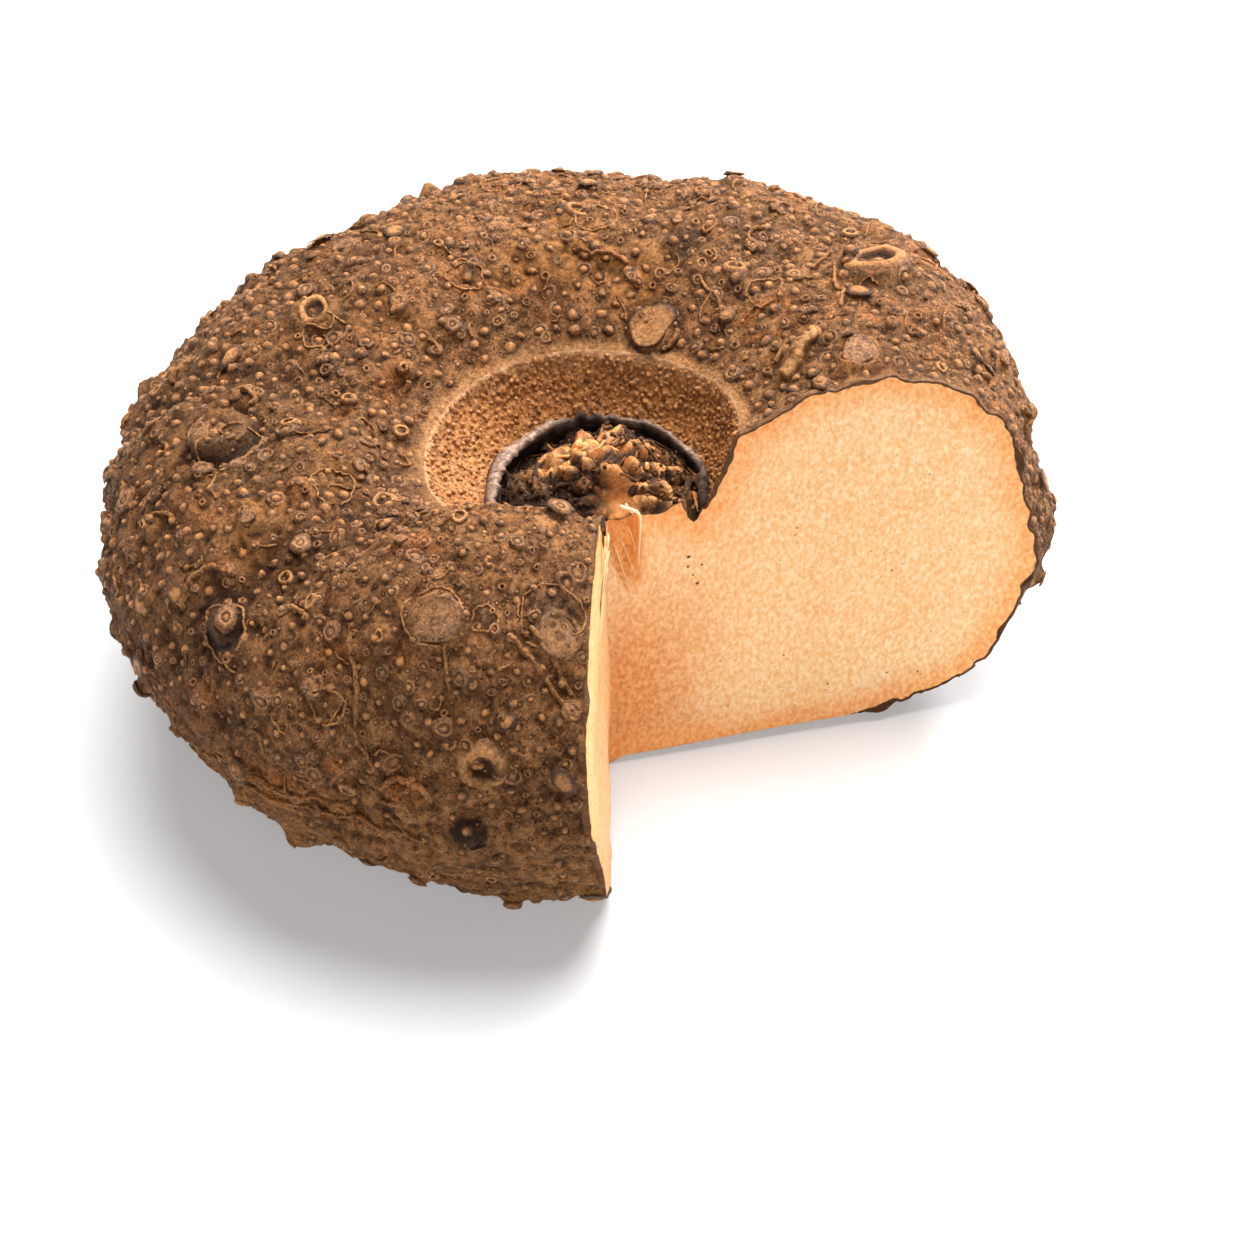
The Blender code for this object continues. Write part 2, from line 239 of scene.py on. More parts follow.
def section_point(angle, station):
    """(radius, height) on the section at this angle; the station's whole part is the stretch."""
    stretch = min(int(station), 5)
    s = station - stretch
    quarter = s * math.pi / 2
    reach, reach_z = around(REACH, angle), around(REACH_HEIGHT, angle)
    crest, crest_z = around(CREST, angle), around(CREST_HEIGHT, angle)
    rim, rim_z = around(RIM, angle), around(RIM_HEIGHT, angle)
    scar, foot = around(SCAR, angle), around(FOOT, angle)
    if stretch == 0:
        radius = scar * s
        return radius, SCAR_HEIGHT + bud_lift(radius * np.cos(angle), radius * np.sin(angle))
    if stretch == 1:
        return scar + (rim - scar) * s, SCAR_HEIGHT + (rim_z - SCAR_HEIGHT) * s**LINING_POWER
    if stretch == 2:
        return rim + (crest - rim) * s, rim_z + (crest_z - rim_z) * math.sin(quarter)
    if stretch == 3:
        power = 2 / SHOULDER_POWER
        radius = crest + (reach - crest) * math.sin(quarter) ** power
        return radius, reach_z + (crest_z - reach_z) * math.cos(quarter) ** power
    power = 2 / around(UNDERSIDE_POWER, angle)
    radius = foot + (reach - foot) * math.cos(quarter) ** power if stretch == 4 else foot * (1 - s)
    low = ground_height(radius * np.cos(angle) + CUT_CORNER[0], radius * np.sin(angle) + CUT_CORNER[1])
    if stretch == 4:
        return radius, low + (reach_z - low) * (1 - math.sin(quarter) ** power)
    return radius, low


def skin_grid(rows, columns):
    ends = [stretch + row / count for stretch, count in enumerate(rows) for row in range(count)]
    stations = np.array([*ends, float(len(rows))])
    last = CUT_END + CUT_LEAN * ramp(stations, LEAN_STATIONS)
    angles = CUT_START + np.multiply.outer(last - CUT_START, np.linspace(0, 1, columns))
    points = np.empty((len(stations), columns, 3))
    for row, station in enumerate(stations):
        radius, height = section_point(angles[row], station)
        points[row, :, 0] = radius * np.cos(angles[row])
        points[row, :, 1] = radius * np.sin(angles[row])
        points[row, :, 2] = height
    return points + CUT_CORNER, stations, angles


def grid_normals(points):
    normals = np.cross(np.gradient(points, axis=0), np.gradient(points, axis=1))
    normals = normals / np.maximum(np.linalg.norm(normals, axis=2, keepdims=True), 1e-12)
    normals[0], normals[-1] = (0, 0, 1), (0, 0, -1)
    return normals


def place_of(direction, station):
    angle = math.radians(direction)
    radius, height = section_point(np.array([angle]), station)
    flat = Vector((radius[0] * math.cos(angle), radius[0] * math.sin(angle), height[0]))
    return flat + Vector(CUT_CORNER)


def waves(points, recipe):
    """A seeded sum of plane waves: slow for swellings, short for ripples."""
    seed, count, lengths, height = recipe
    draw = random.Random(seed)
    total = np.zeros(points.shape[:-1])
    for _ in range(count):
        heading = Vector([draw.gauss(0, 1) for _ in range(3)]).normalized()
        length = draw.uniform(*lengths)
        phase = draw.uniform(0, 2 * math.pi)
        total += np.sin(points @ np.array(heading) * (2 * math.pi / length) + phase)
    return total * height / math.sqrt(count / 2)


def fold_relief(points):
    total = np.zeros(points.shape[:-1])
    for direction, station, length, width, height in FOLDS:
        angle = math.radians(direction)
        away = points - np.array(place_of(direction, station))
        round_ = away @ np.array([-math.sin(angle), math.cos(angle), 0.0])
        along = np.sqrt(np.maximum((away**2).sum(axis=-1) - round_**2, 0.0))
        total += height * gauss(round_, length) * gauss(along, width)
    return total


def knob_form(q, form):
    if form == "button":
        return smooth_step((1.12 - q) / 0.32) - 0.30 * gauss(q - 1.28, 0.16)
    if form == "ring":
        return gauss(q - 0.78, 0.22) + 0.75 * gauss(q, 0.26)
    if form == "pit":
        return gauss(q - 0.74, 0.24) - 0.3 * gauss(q, 0.40)
    return smooth_step(1.0 - q) ** 0.7


def scattered(points, stations, between, gap, seed, tries):
    """Seeded indices of grid points, spread over the skin as evenly as dart throwing leaves them."""
    along = np.linalg.norm(np.gradient(points, axis=0), axis=2)
    round_ = np.linalg.norm(np.gradient(points, axis=1), axis=2)
    wanted = (stations >= between[0]) & (stations <= between[1])
    share = (along * round_ * wanted[:, None]).ravel()
    places = points.reshape(-1, 3)
    draw = random.Random(seed)
    kept = np.empty((tries, 3))
    found = []
    for index in draw.choices(range(len(places)), weights=share.tolist(), k=tries):
        spot = places[index]
        near = kept[: len(found)]
        if not found or np.min(np.sum((near - spot) ** 2, axis=1)) > gap**2:
            kept[len(found)] = spot
            found.append(index)
    return found


def cad_warts():
    """(place, radius, height) of the same warts that part.py raises."""
    points, stations, _ = skin_grid(CAD_ROWS, CAD_COLUMNS)
    named = [(place_of(k[0], k[1]), k[2]) for k in KNOBS]
    draw = random.Random(WART_SEED)
    warts = []
    for index in scattered(points, stations, WART_STATIONS, WART_GAP, WART_SEED, WART_TRIES):
        place = Vector(points.reshape(-1, 3)[index])
        radius, height = draw.uniform(*WART_RADIUS), draw.uniform(*WART_HEIGHT)
        if all((place - knob[0]).length > knob[1] + radius for knob in named):
            warts.append((place, radius, height))
    return warts


def tree_of(places):
    tree = kdtree.KDTree(len(places))
    for index, place in enumerate(places):
        tree.insert(place, index)
    tree.balance()
    return tree


# Waves of the stump, the lining and the sawn faces: seed, count, lengths and height.
STUMP_LUMPS = (31, 50, (0.0060, 0.0140), 0.0018)
STUMP_PITS = (33, 60, (0.0022, 0.0048), 0.0007)
STUMP_PATCHES = (35, 50, (0.0030, 0.0080), 0.5)
LINING_GRIT = (37, 60, (0.0026, 0.0060), 0.00034)
SAW_WAVES = (71, 30, (0.010, 0.030), 0.00022)
SAW_LINES = (73, 40, (0.0030, 0.0060), 0.00005)
# Scatters over the skin: between which stations, how far apart, the seed and the tries.
LUMP_SCATTER = ((2.12, 4.7), 0.0092, 5, 6000)
SCAR_SCATTER = ((2.10, 4.80), 0.0037, 3, 46000)
GRAIN_SCATTER = ((2.08, 4.75), 0.0030, 8, 30000)
FLECK_SCATTER = ((1.04, 1.96), 0.00150, 13, 14000)
FLAKE_SCATTER = ((0.22, 0.93), 0.0040, 29, 3000)
TUFT_SCATTER = ((0.20, 0.95), 0.0018, 43, 5000)
ROOTLET_SCATTER = ((2.2, 4.6), 0.0125, 61, 2500)
GRAIN_COUNT = 3000
# Seeds of the draws that size, turn and tint the small forms.
SEEDS = {
    "lumps": 77,
    "spots": 11,
    "warts": 12,
    "bosses": 29,
    "lining": 23,
    "collar": 31,
    "fibres": 52,
    "stump": 67,
    "rootlets": 83,
    "specks": 97,
}


class Skin:
    """The fine grid of the corm's outside, with its relief and the masks that colour it."""

    def __init__(self):
        self.plain, self.stations, self.angles = skin_grid(ROWS, COLUMNS)
        self.masks = {name: np.zeros(self.plain.shape[:2]) for name in ("tan", "dark", "glow", "grey")}
        self.tree = tree_of(self.plain.reshape(-1, 3))
        skin = (ramp(self.stations, SKIN_START) * (1 - ramp(self.stations, SKIN_END)))[:, None]
        slow = waves(self.plain, SWELL) + fold_relief(self.plain)
        fine = waves(self.plain, RIPPLE) - np.abs(waves(self.plain, CRINKLE)) + CRINKLE_LIFT
        relief = skin * (slow + self.knobs() + fine)
        self.stain_and_shade()
        relief += skin * self.low_wrinkles()
        relief += self.crater_relief()
        self.points = self.plain + grid_normals(self.plain) * relief[..., None]
        self.onto_cut(0)
        self.onto_cut(-1)
        low = self.stations > 3.0
        self.points[low, :, 2] = np.maximum(self.points[low, :, 2], 0.0)
        self.normals = grid_normals(self.points)
        self.places, self.ups = self.points.reshape(-1, 3), self.normals.reshape(-1, 3)
        self.cavity(relief)

    def near(self, place, radius, reach):
        """Grid points within reach radii of a place, and how many radii away each of them is."""
        found = self.tree.find_range(place, radius * reach)
        return np.array([n[1] for n in found]), np.array([n[2] for n in found]) / radius

    def deepen(self, name, index, values):
        """Raises a mask to the values where it is lower."""
        mask = self.masks[name].reshape(-1)
        mask[index] = np.maximum(mask[index], values)

    def scatter(self, recipe):
        return scattered(self.points, self.stations, *recipe)

    def clear_of_cuts(self, index, margin):
        """Whether a grid point is at least margin from both cut faces."""
        row, column = divmod(index, COLUMNS)
        point = self.points[row, column] - CUT_CORNER
        angle = self.angles[row, column]
        near = min(angle - self.angles[row, 0], self.angles[row, -1] - angle)
        return near > math.pi / 2 or math.hypot(point[0], point[1]) * math.sin(near) > margin

    def knobs(self):
        """Relief of the named knobs, part.py's warts and a scatter of finer lumps, with their colours."""
        flat = np.zeros(self.plain.shape[0] * self.plain.shape[1])
        todo = [(place_of(k[0], k[1]), *k[2:]) for k in KNOBS]
        todo += [(place, radius, height, "dome", "wart") for place, radius, height in cad_warts()]
        draw = random.Random(SEEDS["lumps"])
        places = self.plain.reshape(-1, 3)
        for index in scattered(self.plain, self.stations, *LUMP_SCATTER):
            radius = draw.uniform(0.0020, 0.0046)
            todo.append((Vector(places[index]), radius, radius * draw.uniform(0.07, 0.20), "dome", "lump"))
        for place, radius, height, form, look in todo:
            index, q = self.near(place, radius, 1.7)
            lift = height * knob_form(q, form)
            flat[index] = np.where(np.abs(lift) > np.abs(flat[index]), lift, flat[index])
            for name, value in knob_colours(q, look).items():
                self.deepen(name, index, value)
        return flat.reshape(self.plain.shape[:2])

    def stain_and_shade(self):
        for direction, station, radius, name, strength in STAINS_AND_SHADE:
            index, q = self.near(place_of(direction, station), radius, 1.4)
            self.deepen(name, index, strength * smooth_step(1.4 - q))

    def shade_round(self, groups):
        """Darkens the skin in a ring round each small wart."""
        for spots in groups.values():
            for spot, radius, _ in spots:
                index, q = self.near(self.plain.reshape(-1, 3)[spot], radius, 2.6)
                self.deepen("dark", index, 0.75 * smooth_step((2.6 - q) / 1.5))

    def low_wrinkles(self):
        """Long level wrinkles where the skin is stretched, low on the corm's side."""
        stretch = ramp(self.stations, (3.9, 4.25)) * (1 - ramp(self.stations, (4.72, 4.95)))
        sway = np.sin(self.angles * 9 + 0.7) + 0.6 * np.sin(self.angles * 23 + 2.0)
        phase = self.stations[:, None] * 62 + 1.3 * sway
        uneven = 0.55 + 0.45 * np.sin(self.angles * 31 + self.stations[:, None] * 17)
        return WRINKLE_HEIGHT * stretch[:, None] * uneven * np.sin(phase)

    def crater_relief(self):
        """Rough stump, the sunken ring round it, the crater's lining and its fine ridge."""
        flat = self.plain - CUT_CORNER
        radius = np.hypot(flat[..., 0], flat[..., 1])
        edge = radius / around(SCAR, self.angles)
        moat = -MOAT_DEPTH * smooth_step((edge - 0.72) / 0.16) * (1 - smooth_step((edge - 0.93) / 0.07))
        lumps = np.abs(waves(self.plain, STUMP_LUMPS))
        rough = lumps - 0.0010 - 0.5 * np.abs(waves(self.plain, STUMP_PITS))
        ridge = RIM_RIDGE_HEIGHT * gauss(radius - around(RIM, self.angles), RIM_RIDGE_WIDTH)
        ridge = np.where((self.stations < 3.0)[:, None], ridge, 0.0)
        torn = bud_zones(flat)[3]
        self.stump_colours(flat, edge)
        self.masks["tan"] += 0.60 * ridge / RIM_RIDGE_HEIGHT
        stump = rough * (1 - 0.8 * torn) - TORN_DEPTH * torn + moat
        lining = ((self.stations >= 1.0) & (self.stations < 2.0))[:, None]
        grit = np.where(lining, np.abs(waves(self.plain, LINING_GRIT)), 0.0)
        return np.where((self.stations < 1.0)[:, None], stump, 0.0) + grit + ridge

    def stump_colours(self, flat, edge):
        """Pale wood, ruddy and torn flesh, a black rotten patch, and painted shade that darkens the stump
        towards its edge, down in the sunken ring.
        """
        inside = (self.stations < 1.0)[:, None]
        pale, ruddy, debris, torn = bud_zones(flat)
        patchy = smooth_step(0.5 + waves(self.plain, STUMP_PATCHES))
        wood = (2.2 * pale + 0.8 * debris) * patchy + 0.8 * torn
        # Painted shade darker towards the stump's edge, in the sunken ring by the collar, except under loose
        # debris; plus the black rotten patch.
        rot_and_moat_shade = smooth_step((edge - 0.70) / 0.3) * (1 - debris) + 1.2 * charred(flat)
        self.masks["tan"] += np.where(inside, np.clip(wood, 0, 1), 0)
        self.masks["glow"] += np.where(inside, np.clip(0.8 * ruddy * patchy + 0.55 * torn, 0, 1), 0)
        self.masks["dark"] += np.where(inside, rot_and_moat_shade, 0)

    def onto_cut(self, column):
        """Brings the first or last column back onto its cut after the relief has moved it."""
        angle = self.angles[:, column]
        across = np.stack([-np.sin(angle), np.cos(angle), 0 * angle], 1)
        off = ((self.points[:, column] - CUT_CORNER) * across).sum(axis=1)
        self.points[:, column] -= off[:, None] * across

    def cavity(self, relief):
        """Adds to the masks where the relief stands over its neighbourhood or lies under it: painted shade
        darkens the hollows and the valleys of the folds, and the raised parts are made more tan.
        """
        blurred = relief.copy()
        for _ in range(CAVITY_STEPS):
            padded = np.pad(blurred, 1, mode="edge")
            blurred = (padded[:-2, 1:-1] + padded[2:, 1:-1] + padded[1:-1, :-2] + padded[1:-1, 2:]) / 4
        proud = relief - blurred
        # Painted shade in the hollows and in the valleys of the folds.
        self.masks["dark"] += 0.62 * np.clip(-proud / 0.00045, 0, 1)
        self.masks["tan"] += 0.22 * np.clip(proud / 0.0006, 0, 1)
        self.masks["dark"] += 0.55 * np.clip(-fold_relief(self.plain) / 0.006, 0, 1)
        torn = bud_zones(self.plain - CUT_CORNER)[3] * (self.stations < 1.0)[:, None]
        self.masks["dark"] *= 1 - np.clip(1.5 * torn, 0, 1)


def bud_zones(flat):
    """Shares of the stump that are pale wood, ruddy, loose debris and torn flesh, from 0 to 1."""
    x, y = flat[..., 0], flat[..., 1]
    pale = gauss(np.hypot((x + 0.0090) / 1.25, y - 0.0200), 0.0080)
    ruddy = gauss(np.hypot(x - 0.0020, y - 0.0150), 0.0060)
    debris = gauss(np.hypot(x - 0.0150, (y - 0.0120) / 1.2), 0.0080)
    torn = gauss(np.hypot(x - 0.0035, (y - 0.0030) / 1.3), 0.0040)
    return pale, ruddy, debris, torn


def charred(flat):
    """Share of the stump that is rotten black, from 0 to 1."""
    return gauss(np.hypot(flat[..., 0] + 0.0170, (flat[..., 1] - 0.0040) / 0.9), 0.0125)


def knob_colours(q, look):
    """How a knob of this look is coloured at q radii from its middle. The dark ring at the edge of tan, pale,
    grey and plain knobs is painted shade at their feet.
    """
    if look == "tan":
        return {"tan": 0.95 * smooth_step((0.98 - q) / 0.10), "dark": gauss(q - 1.12, 0.10)}
    if look == "pale":
        return {"tan": smooth_step((0.62 - q) / 0.2), "dark": 0.8 * gauss(q - 0.9, 0.12)}
    if look == "ring":
        return {"tan": 0.75 * gauss(q - 0.78, 0.20), "dark": 0.9 * smooth_step((0.58 - q) / 0.12)}
    if look == "grey":
        return {"grey": smooth_step((1.05 - q) / 0.25), "dark": 0.7 * gauss(q - 1.05, 0.12)}
    if look == "black":
        return {"grey": smooth_step((1.0 - q) / 0.2), "dark": 0.75 * smooth_step((1.1 - q) / 0.2)}
    return {"dark": 0.30 * gauss(q - 1.02, 0.14), "tan": 0.12 * smooth_step((0.6 - q) / 0.5)}


def give_masks(mesh, masks):
    for name, values in masks.items():
        layer = mesh.attributes.new(name, "FLOAT", "POINT")
        layer.data.foreach_set("value", np.asarray(values, dtype=np.float32).ravel())


def mesh_object(name, shape, materials, slots=None):
    """A mesh object from (vertices, faces, masks), with a material slot for each face."""
    vertices, faces, masks = shape
    mesh = bpy.data.meshes.new(name)
    mesh.from_pydata(vertices.tolist(), [], faces)
    give_masks(mesh, masks)
    for material in materials:
        mesh.materials.append(material)
    if slots is not None:
        mesh.polygons.foreach_set("material_index", np.asarray(slots, dtype=np.int32))
    mesh.polygons.foreach_set("use_smooth", np.ones(len(mesh.polygons), dtype=bool))
    mesh.update()
    made = bpy.data.objects.new(name, mesh)
    bpy.context.scene.collection.objects.link(made)
    return made


def vertices_of(mesh):
    flat = np.empty(len(mesh.vertices) * 3)
    mesh.vertices.foreach_get("co", flat)
    return flat.reshape(-1, 3)


def cut_normal(column):
    """The way out of the flesh at a cut face: 0 is the right face and -1 the left one."""
    angle = CUT_START if column == 0 else CUT_END
    turn = 1.0 if column == 0 else -1.0
    return turn * np.array([math.sin(angle), -math.cos(angle), 0.0])


def hollow(places):
    """How deep the right cut face is torn in beside the stump, from 0 to 1."""
    away = places - CUT_CORNER
    along = away @ np.array([math.cos(CUT_START), math.sin(CUT_START), 0.0])
    drift = along - 0.0042 - 0.10 * (0.078 - away[:, 2])
    above = away[:, 2] - HOLLOW_HEIGHT
    reach = (drift / 0.0050) ** 2 + (above / np.where(above > 0, 0.0115, 0.0200)) ** 2
    return smooth_step(1.05 - reach) * smooth_step(along / 0.0012)


def inside(outline, places):
    """Whether each place is inside the closed outline, by counting the sides to its right."""
    odd = np.zeros(len(places), bool)
    for (x0, y0), (x1, y1) in zip(outline, np.roll(outline, -1, axis=0)):
        crosses = (places[:, 1] < y0) != (places[:, 1] < y1)
        slope = (x1 - x0) / (y1 - y0) if y1 != y0 else 0.0
        odd ^= crosses & (places[:, 0] < x0 + (places[:, 1] - y0) * slope)
    return odd


def flat_gaps(outline, points):
    """Distance from each flat point to the nearest point of the outline."""
    tree = tree_of([(*p, 0) for p in outline])
    return np.array([tree.find((*p, 0))[2] for p in points])


def face_points(outline):
    """Inner points of a cut face: a line just inside the skin, and a staggered grid over the rest."""
    ahead, behind = np.roll(outline, -1, axis=0), np.roll(outline, 1, axis=0)
    along = (ahead - behind) / np.maximum(np.linalg.norm(ahead - behind, axis=1, keepdims=True), 1e-9)
    inward = np.stack([along[:, 1], -along[:, 0]], 1)
    line = outline + inward * PEEL_DEPTH
    wide, high = outline.max(axis=0)
    heights = enumerate(np.arange(0, high, FACE_GRID * 0.87))
    grid = [(x + FACE_GRID / 2 * (k % 2), y) for k, y in heights for x in np.arange(0, wide, FACE_GRID)]
    kept = []
    for group, gap in ((line, PEEL_DEPTH * 0.9), (np.array(grid), FACE_GRID * 0.8)):
        group = group[inside(outline, group)]
        kept.append(group[(flat_gaps(outline, group) > gap) & (group[:, 0] > FACE_GRID * 0.4)])
    return np.vstack(kept)


def filled(border, inner):
    """Triangles that fill a closed border and its inner points, as loops of their numbers."""
    count = len(border)
    edges = [(k, (k + 1) % count) for k in range(count)]
    found = geometry.delaunay_2d_cdt([Vector(p) for p in np.vstack([border, inner])], edges, [], 1, 1e-7)
    origin = [source[0] if source else -1 for source in found[3]]
    loops = [tuple(origin[v] for v in loop) for loop in found[2]]
    return [loop for loop in loops if -1 not in loop]


def leaning(skin, outline, inner):
    """The direction of each inner point of the left face, which leans as its outline does."""
    low = skin.stations[1:-1] > 3.2
    turn = np.arctan2(outline[low, 1] - LEAN_CENTRE, outline[low, 0])
    lean = CUT_LEAN * ramp(skin.stations[1:-1][low], LEAN_STATIONS)
    order = np.argsort(turn)
    mine = np.arctan2(inner[:, 1] - LEAN_CENTRE, inner[:, 0])
    return CUT_END + np.interp(mine, turn[order], lean[order])


def cut_face(skin, column, spine):
    """(places, faces, gaps) of one cut face. Its first points are the spine's and then the outline's."""
    outline = skin.points[1:-1, column]
    flat = np.stack([np.hypot(*(outline[:, :2] - CUT_CORNER[:2]).T), outline[:, 2]], 1)
    upright = np.stack([0 * spine, spine], 1)
    border = np.vstack([upright[:1], flat, upright[:0:-1]])
    inner = face_points(border)
    angle = leaning(skin, flat, inner) if column else np.full(len(inner), CUT_START)
    places = np.stack([inner[:, 0] * np.cos(angle), inner[:, 0] * np.sin(angle), inner[:, 1]], 1) + CUT_CORNER
    gaps = flat_gaps(flat, inner)
    sawn = waves(places, SAW_WAVES) + waves(places, SAW_LINES)
    sawn *= smooth_step(gaps / SAW_MARGIN) * smooth_step(inner[:, 0] / SAW_MARGIN)
    return places + cut_normal(column) * sawn[:, None], filled(border, inner), gaps


def skin_faces(stations, index):
    """The skin's faces, and the material slot of each: skin, crater lining or stalk scar."""
    faces, slots = [], []
    for i, station in enumerate(stations[:-1]):
        slot = 2 if station < 0.995 else 1 if station < 1.995 else 0
        for j in range(index.shape[1] - 1):
            loop = (index[i, j], index[i + 1, j], index[i + 1, j + 1], index[i, j + 1])
            faces.append(tuple(dict.fromkeys(int(v) for v in loop)))
            slots.append(slot)
    return faces, slots


def corm_body(skin, materials):
    """One closed mesh: the skin, the crater, the scar and both cut faces."""
    rows, columns, _ = skin.points.shape
    spine = np.linspace(skin.points[0, 0, 2], 0.0, SPINE_POINTS)
    grid = np.arange((rows - 2) * columns).reshape(rows - 2, columns) + SPINE_POINTS
    index = np.vstack([np.full(columns, 0), grid, np.full(columns, SPINE_POINTS - 1)])
    vertices = [np.outer(spine, (0, 0, 1)) + CUT_CORNER, skin.points[1:-1].reshape(-1, 3)]
    faces, slots = skin_faces(skin.stations, index)
    total = SPINE_POINTS + grid.size
    wet, gap = np.zeros(total), np.zeros(total)
    for column in (0, -1):
        places, loops, gaps = cut_face(skin, column, spine)
        torn = hollow(places) if column == 0 else np.zeros(len(places))
        vertices.append(places - cut_normal(column) * (HOLLOW_DEPTH * torn)[:, None])
        border = [0, *index[1:-1, column], *range(SPINE_POINTS - 1, 0, -1)]
        names = [int(v) for v in border] + list(range(total, total + len(places)))
        wet, gap = np.concatenate([wet, torn]), np.concatenate([gap, gaps])
        for loop in loops:
            loop = tuple(names[v] for v in loop)
            thin = all(gap[v] < PEEL_DEPTH * 1.3 and v >= SPINE_POINTS for v in loop)
            faces.append(loop[::-1] if column else loop)
            slots.append(4 if thin else 3)
        total += len(places)
    vertices = np.vstack(vertices)
    body = mesh_object("corm_body", (vertices, faces, {}), materials, slots)
    body.vertex_groups.new(name="free").add(grid[:, 1:-1].ravel().tolist(), 1.0, "ADD")
    body.data = thinned(body, BODY_TRIANGLES, "free")
    body.vertex_groups.clear()
    give_masks(body.data, body_masks(skin, vertices_of(body.data), vertices, wet))
    return body


def thinned(made, triangles, group):
    """The object's mesh with fewer triangles, all of them taken from the vertex group."""
    made.data.calc_loop_triangles()
    modifier = made.modifiers.new("thin", "DECIMATE")
    modifier.use_collapse_triangulate = True
    modifier.vertex_group = group
    modifier.ratio = triangles / len(made.data.loop_triangles)
    graph = bpy.context.evaluated_depsgraph_get()
    mesh = bpy.data.meshes.new_from_object(made.evaluated_get(graph))
    made.modifiers.clear()
    return mesh


def body_masks(skin, places, vertices, wet):
    """The skin's masks and the cut faces' own, at the places that thinning the vertices has left."""
    tree = tree_of(vertices)
    nearest = np.array([tree.find(place)[1] for place in places])
    cells = skin.points[1:-1, :, 0].size
    on_skin = (nearest >= SPINE_POINTS) & (nearest < SPINE_POINTS + cells)
    cell = np.clip(nearest - SPINE_POINTS, 0, cells - 1)
    low = np.repeat(ramp(skin.stations, LOW_STATIONS), COLUMNS).reshape(-1, COLUMNS)
    masks = {}
    for name, mask in (skin.masks | {"low": low}).items():
        masks[name] = np.where(on_skin, np.clip(mask[1:-1].reshape(-1)[cell], 0, 1), 0.0)
    away = np.hypot(places[:, 0] - CUT_CORNER[0], places[:, 1] - CUT_CORNER[1])
    # Darker orange flesh low by the cut corner, partly the flesh's own colour and partly painted shade of the
    # loose wedge, which is not built; the whole left face gets painted shade.
    ripe_and_shade = smooth_step(1.15 - away / 0.034) * smooth_step((0.078 - places[:, 2]) / 0.05)
    on_left = places[:, 1] - CUT_CORNER[1] < -0.5 * away
    masks["ripe_and_shade"] = np.maximum(ripe_and_shade, LEFT_FACE_SHADE * on_left)
    outline = tree_of(np.vstack([skin.points[:, 0], skin.points[:, -1]]))
    gaps = np.array([outline.find(place)[2] for place in places])
    masks["rim"], masks["wet"] = 1 - smooth_step(gaps / RIM_STAIN), wet[nearest]
    return masks


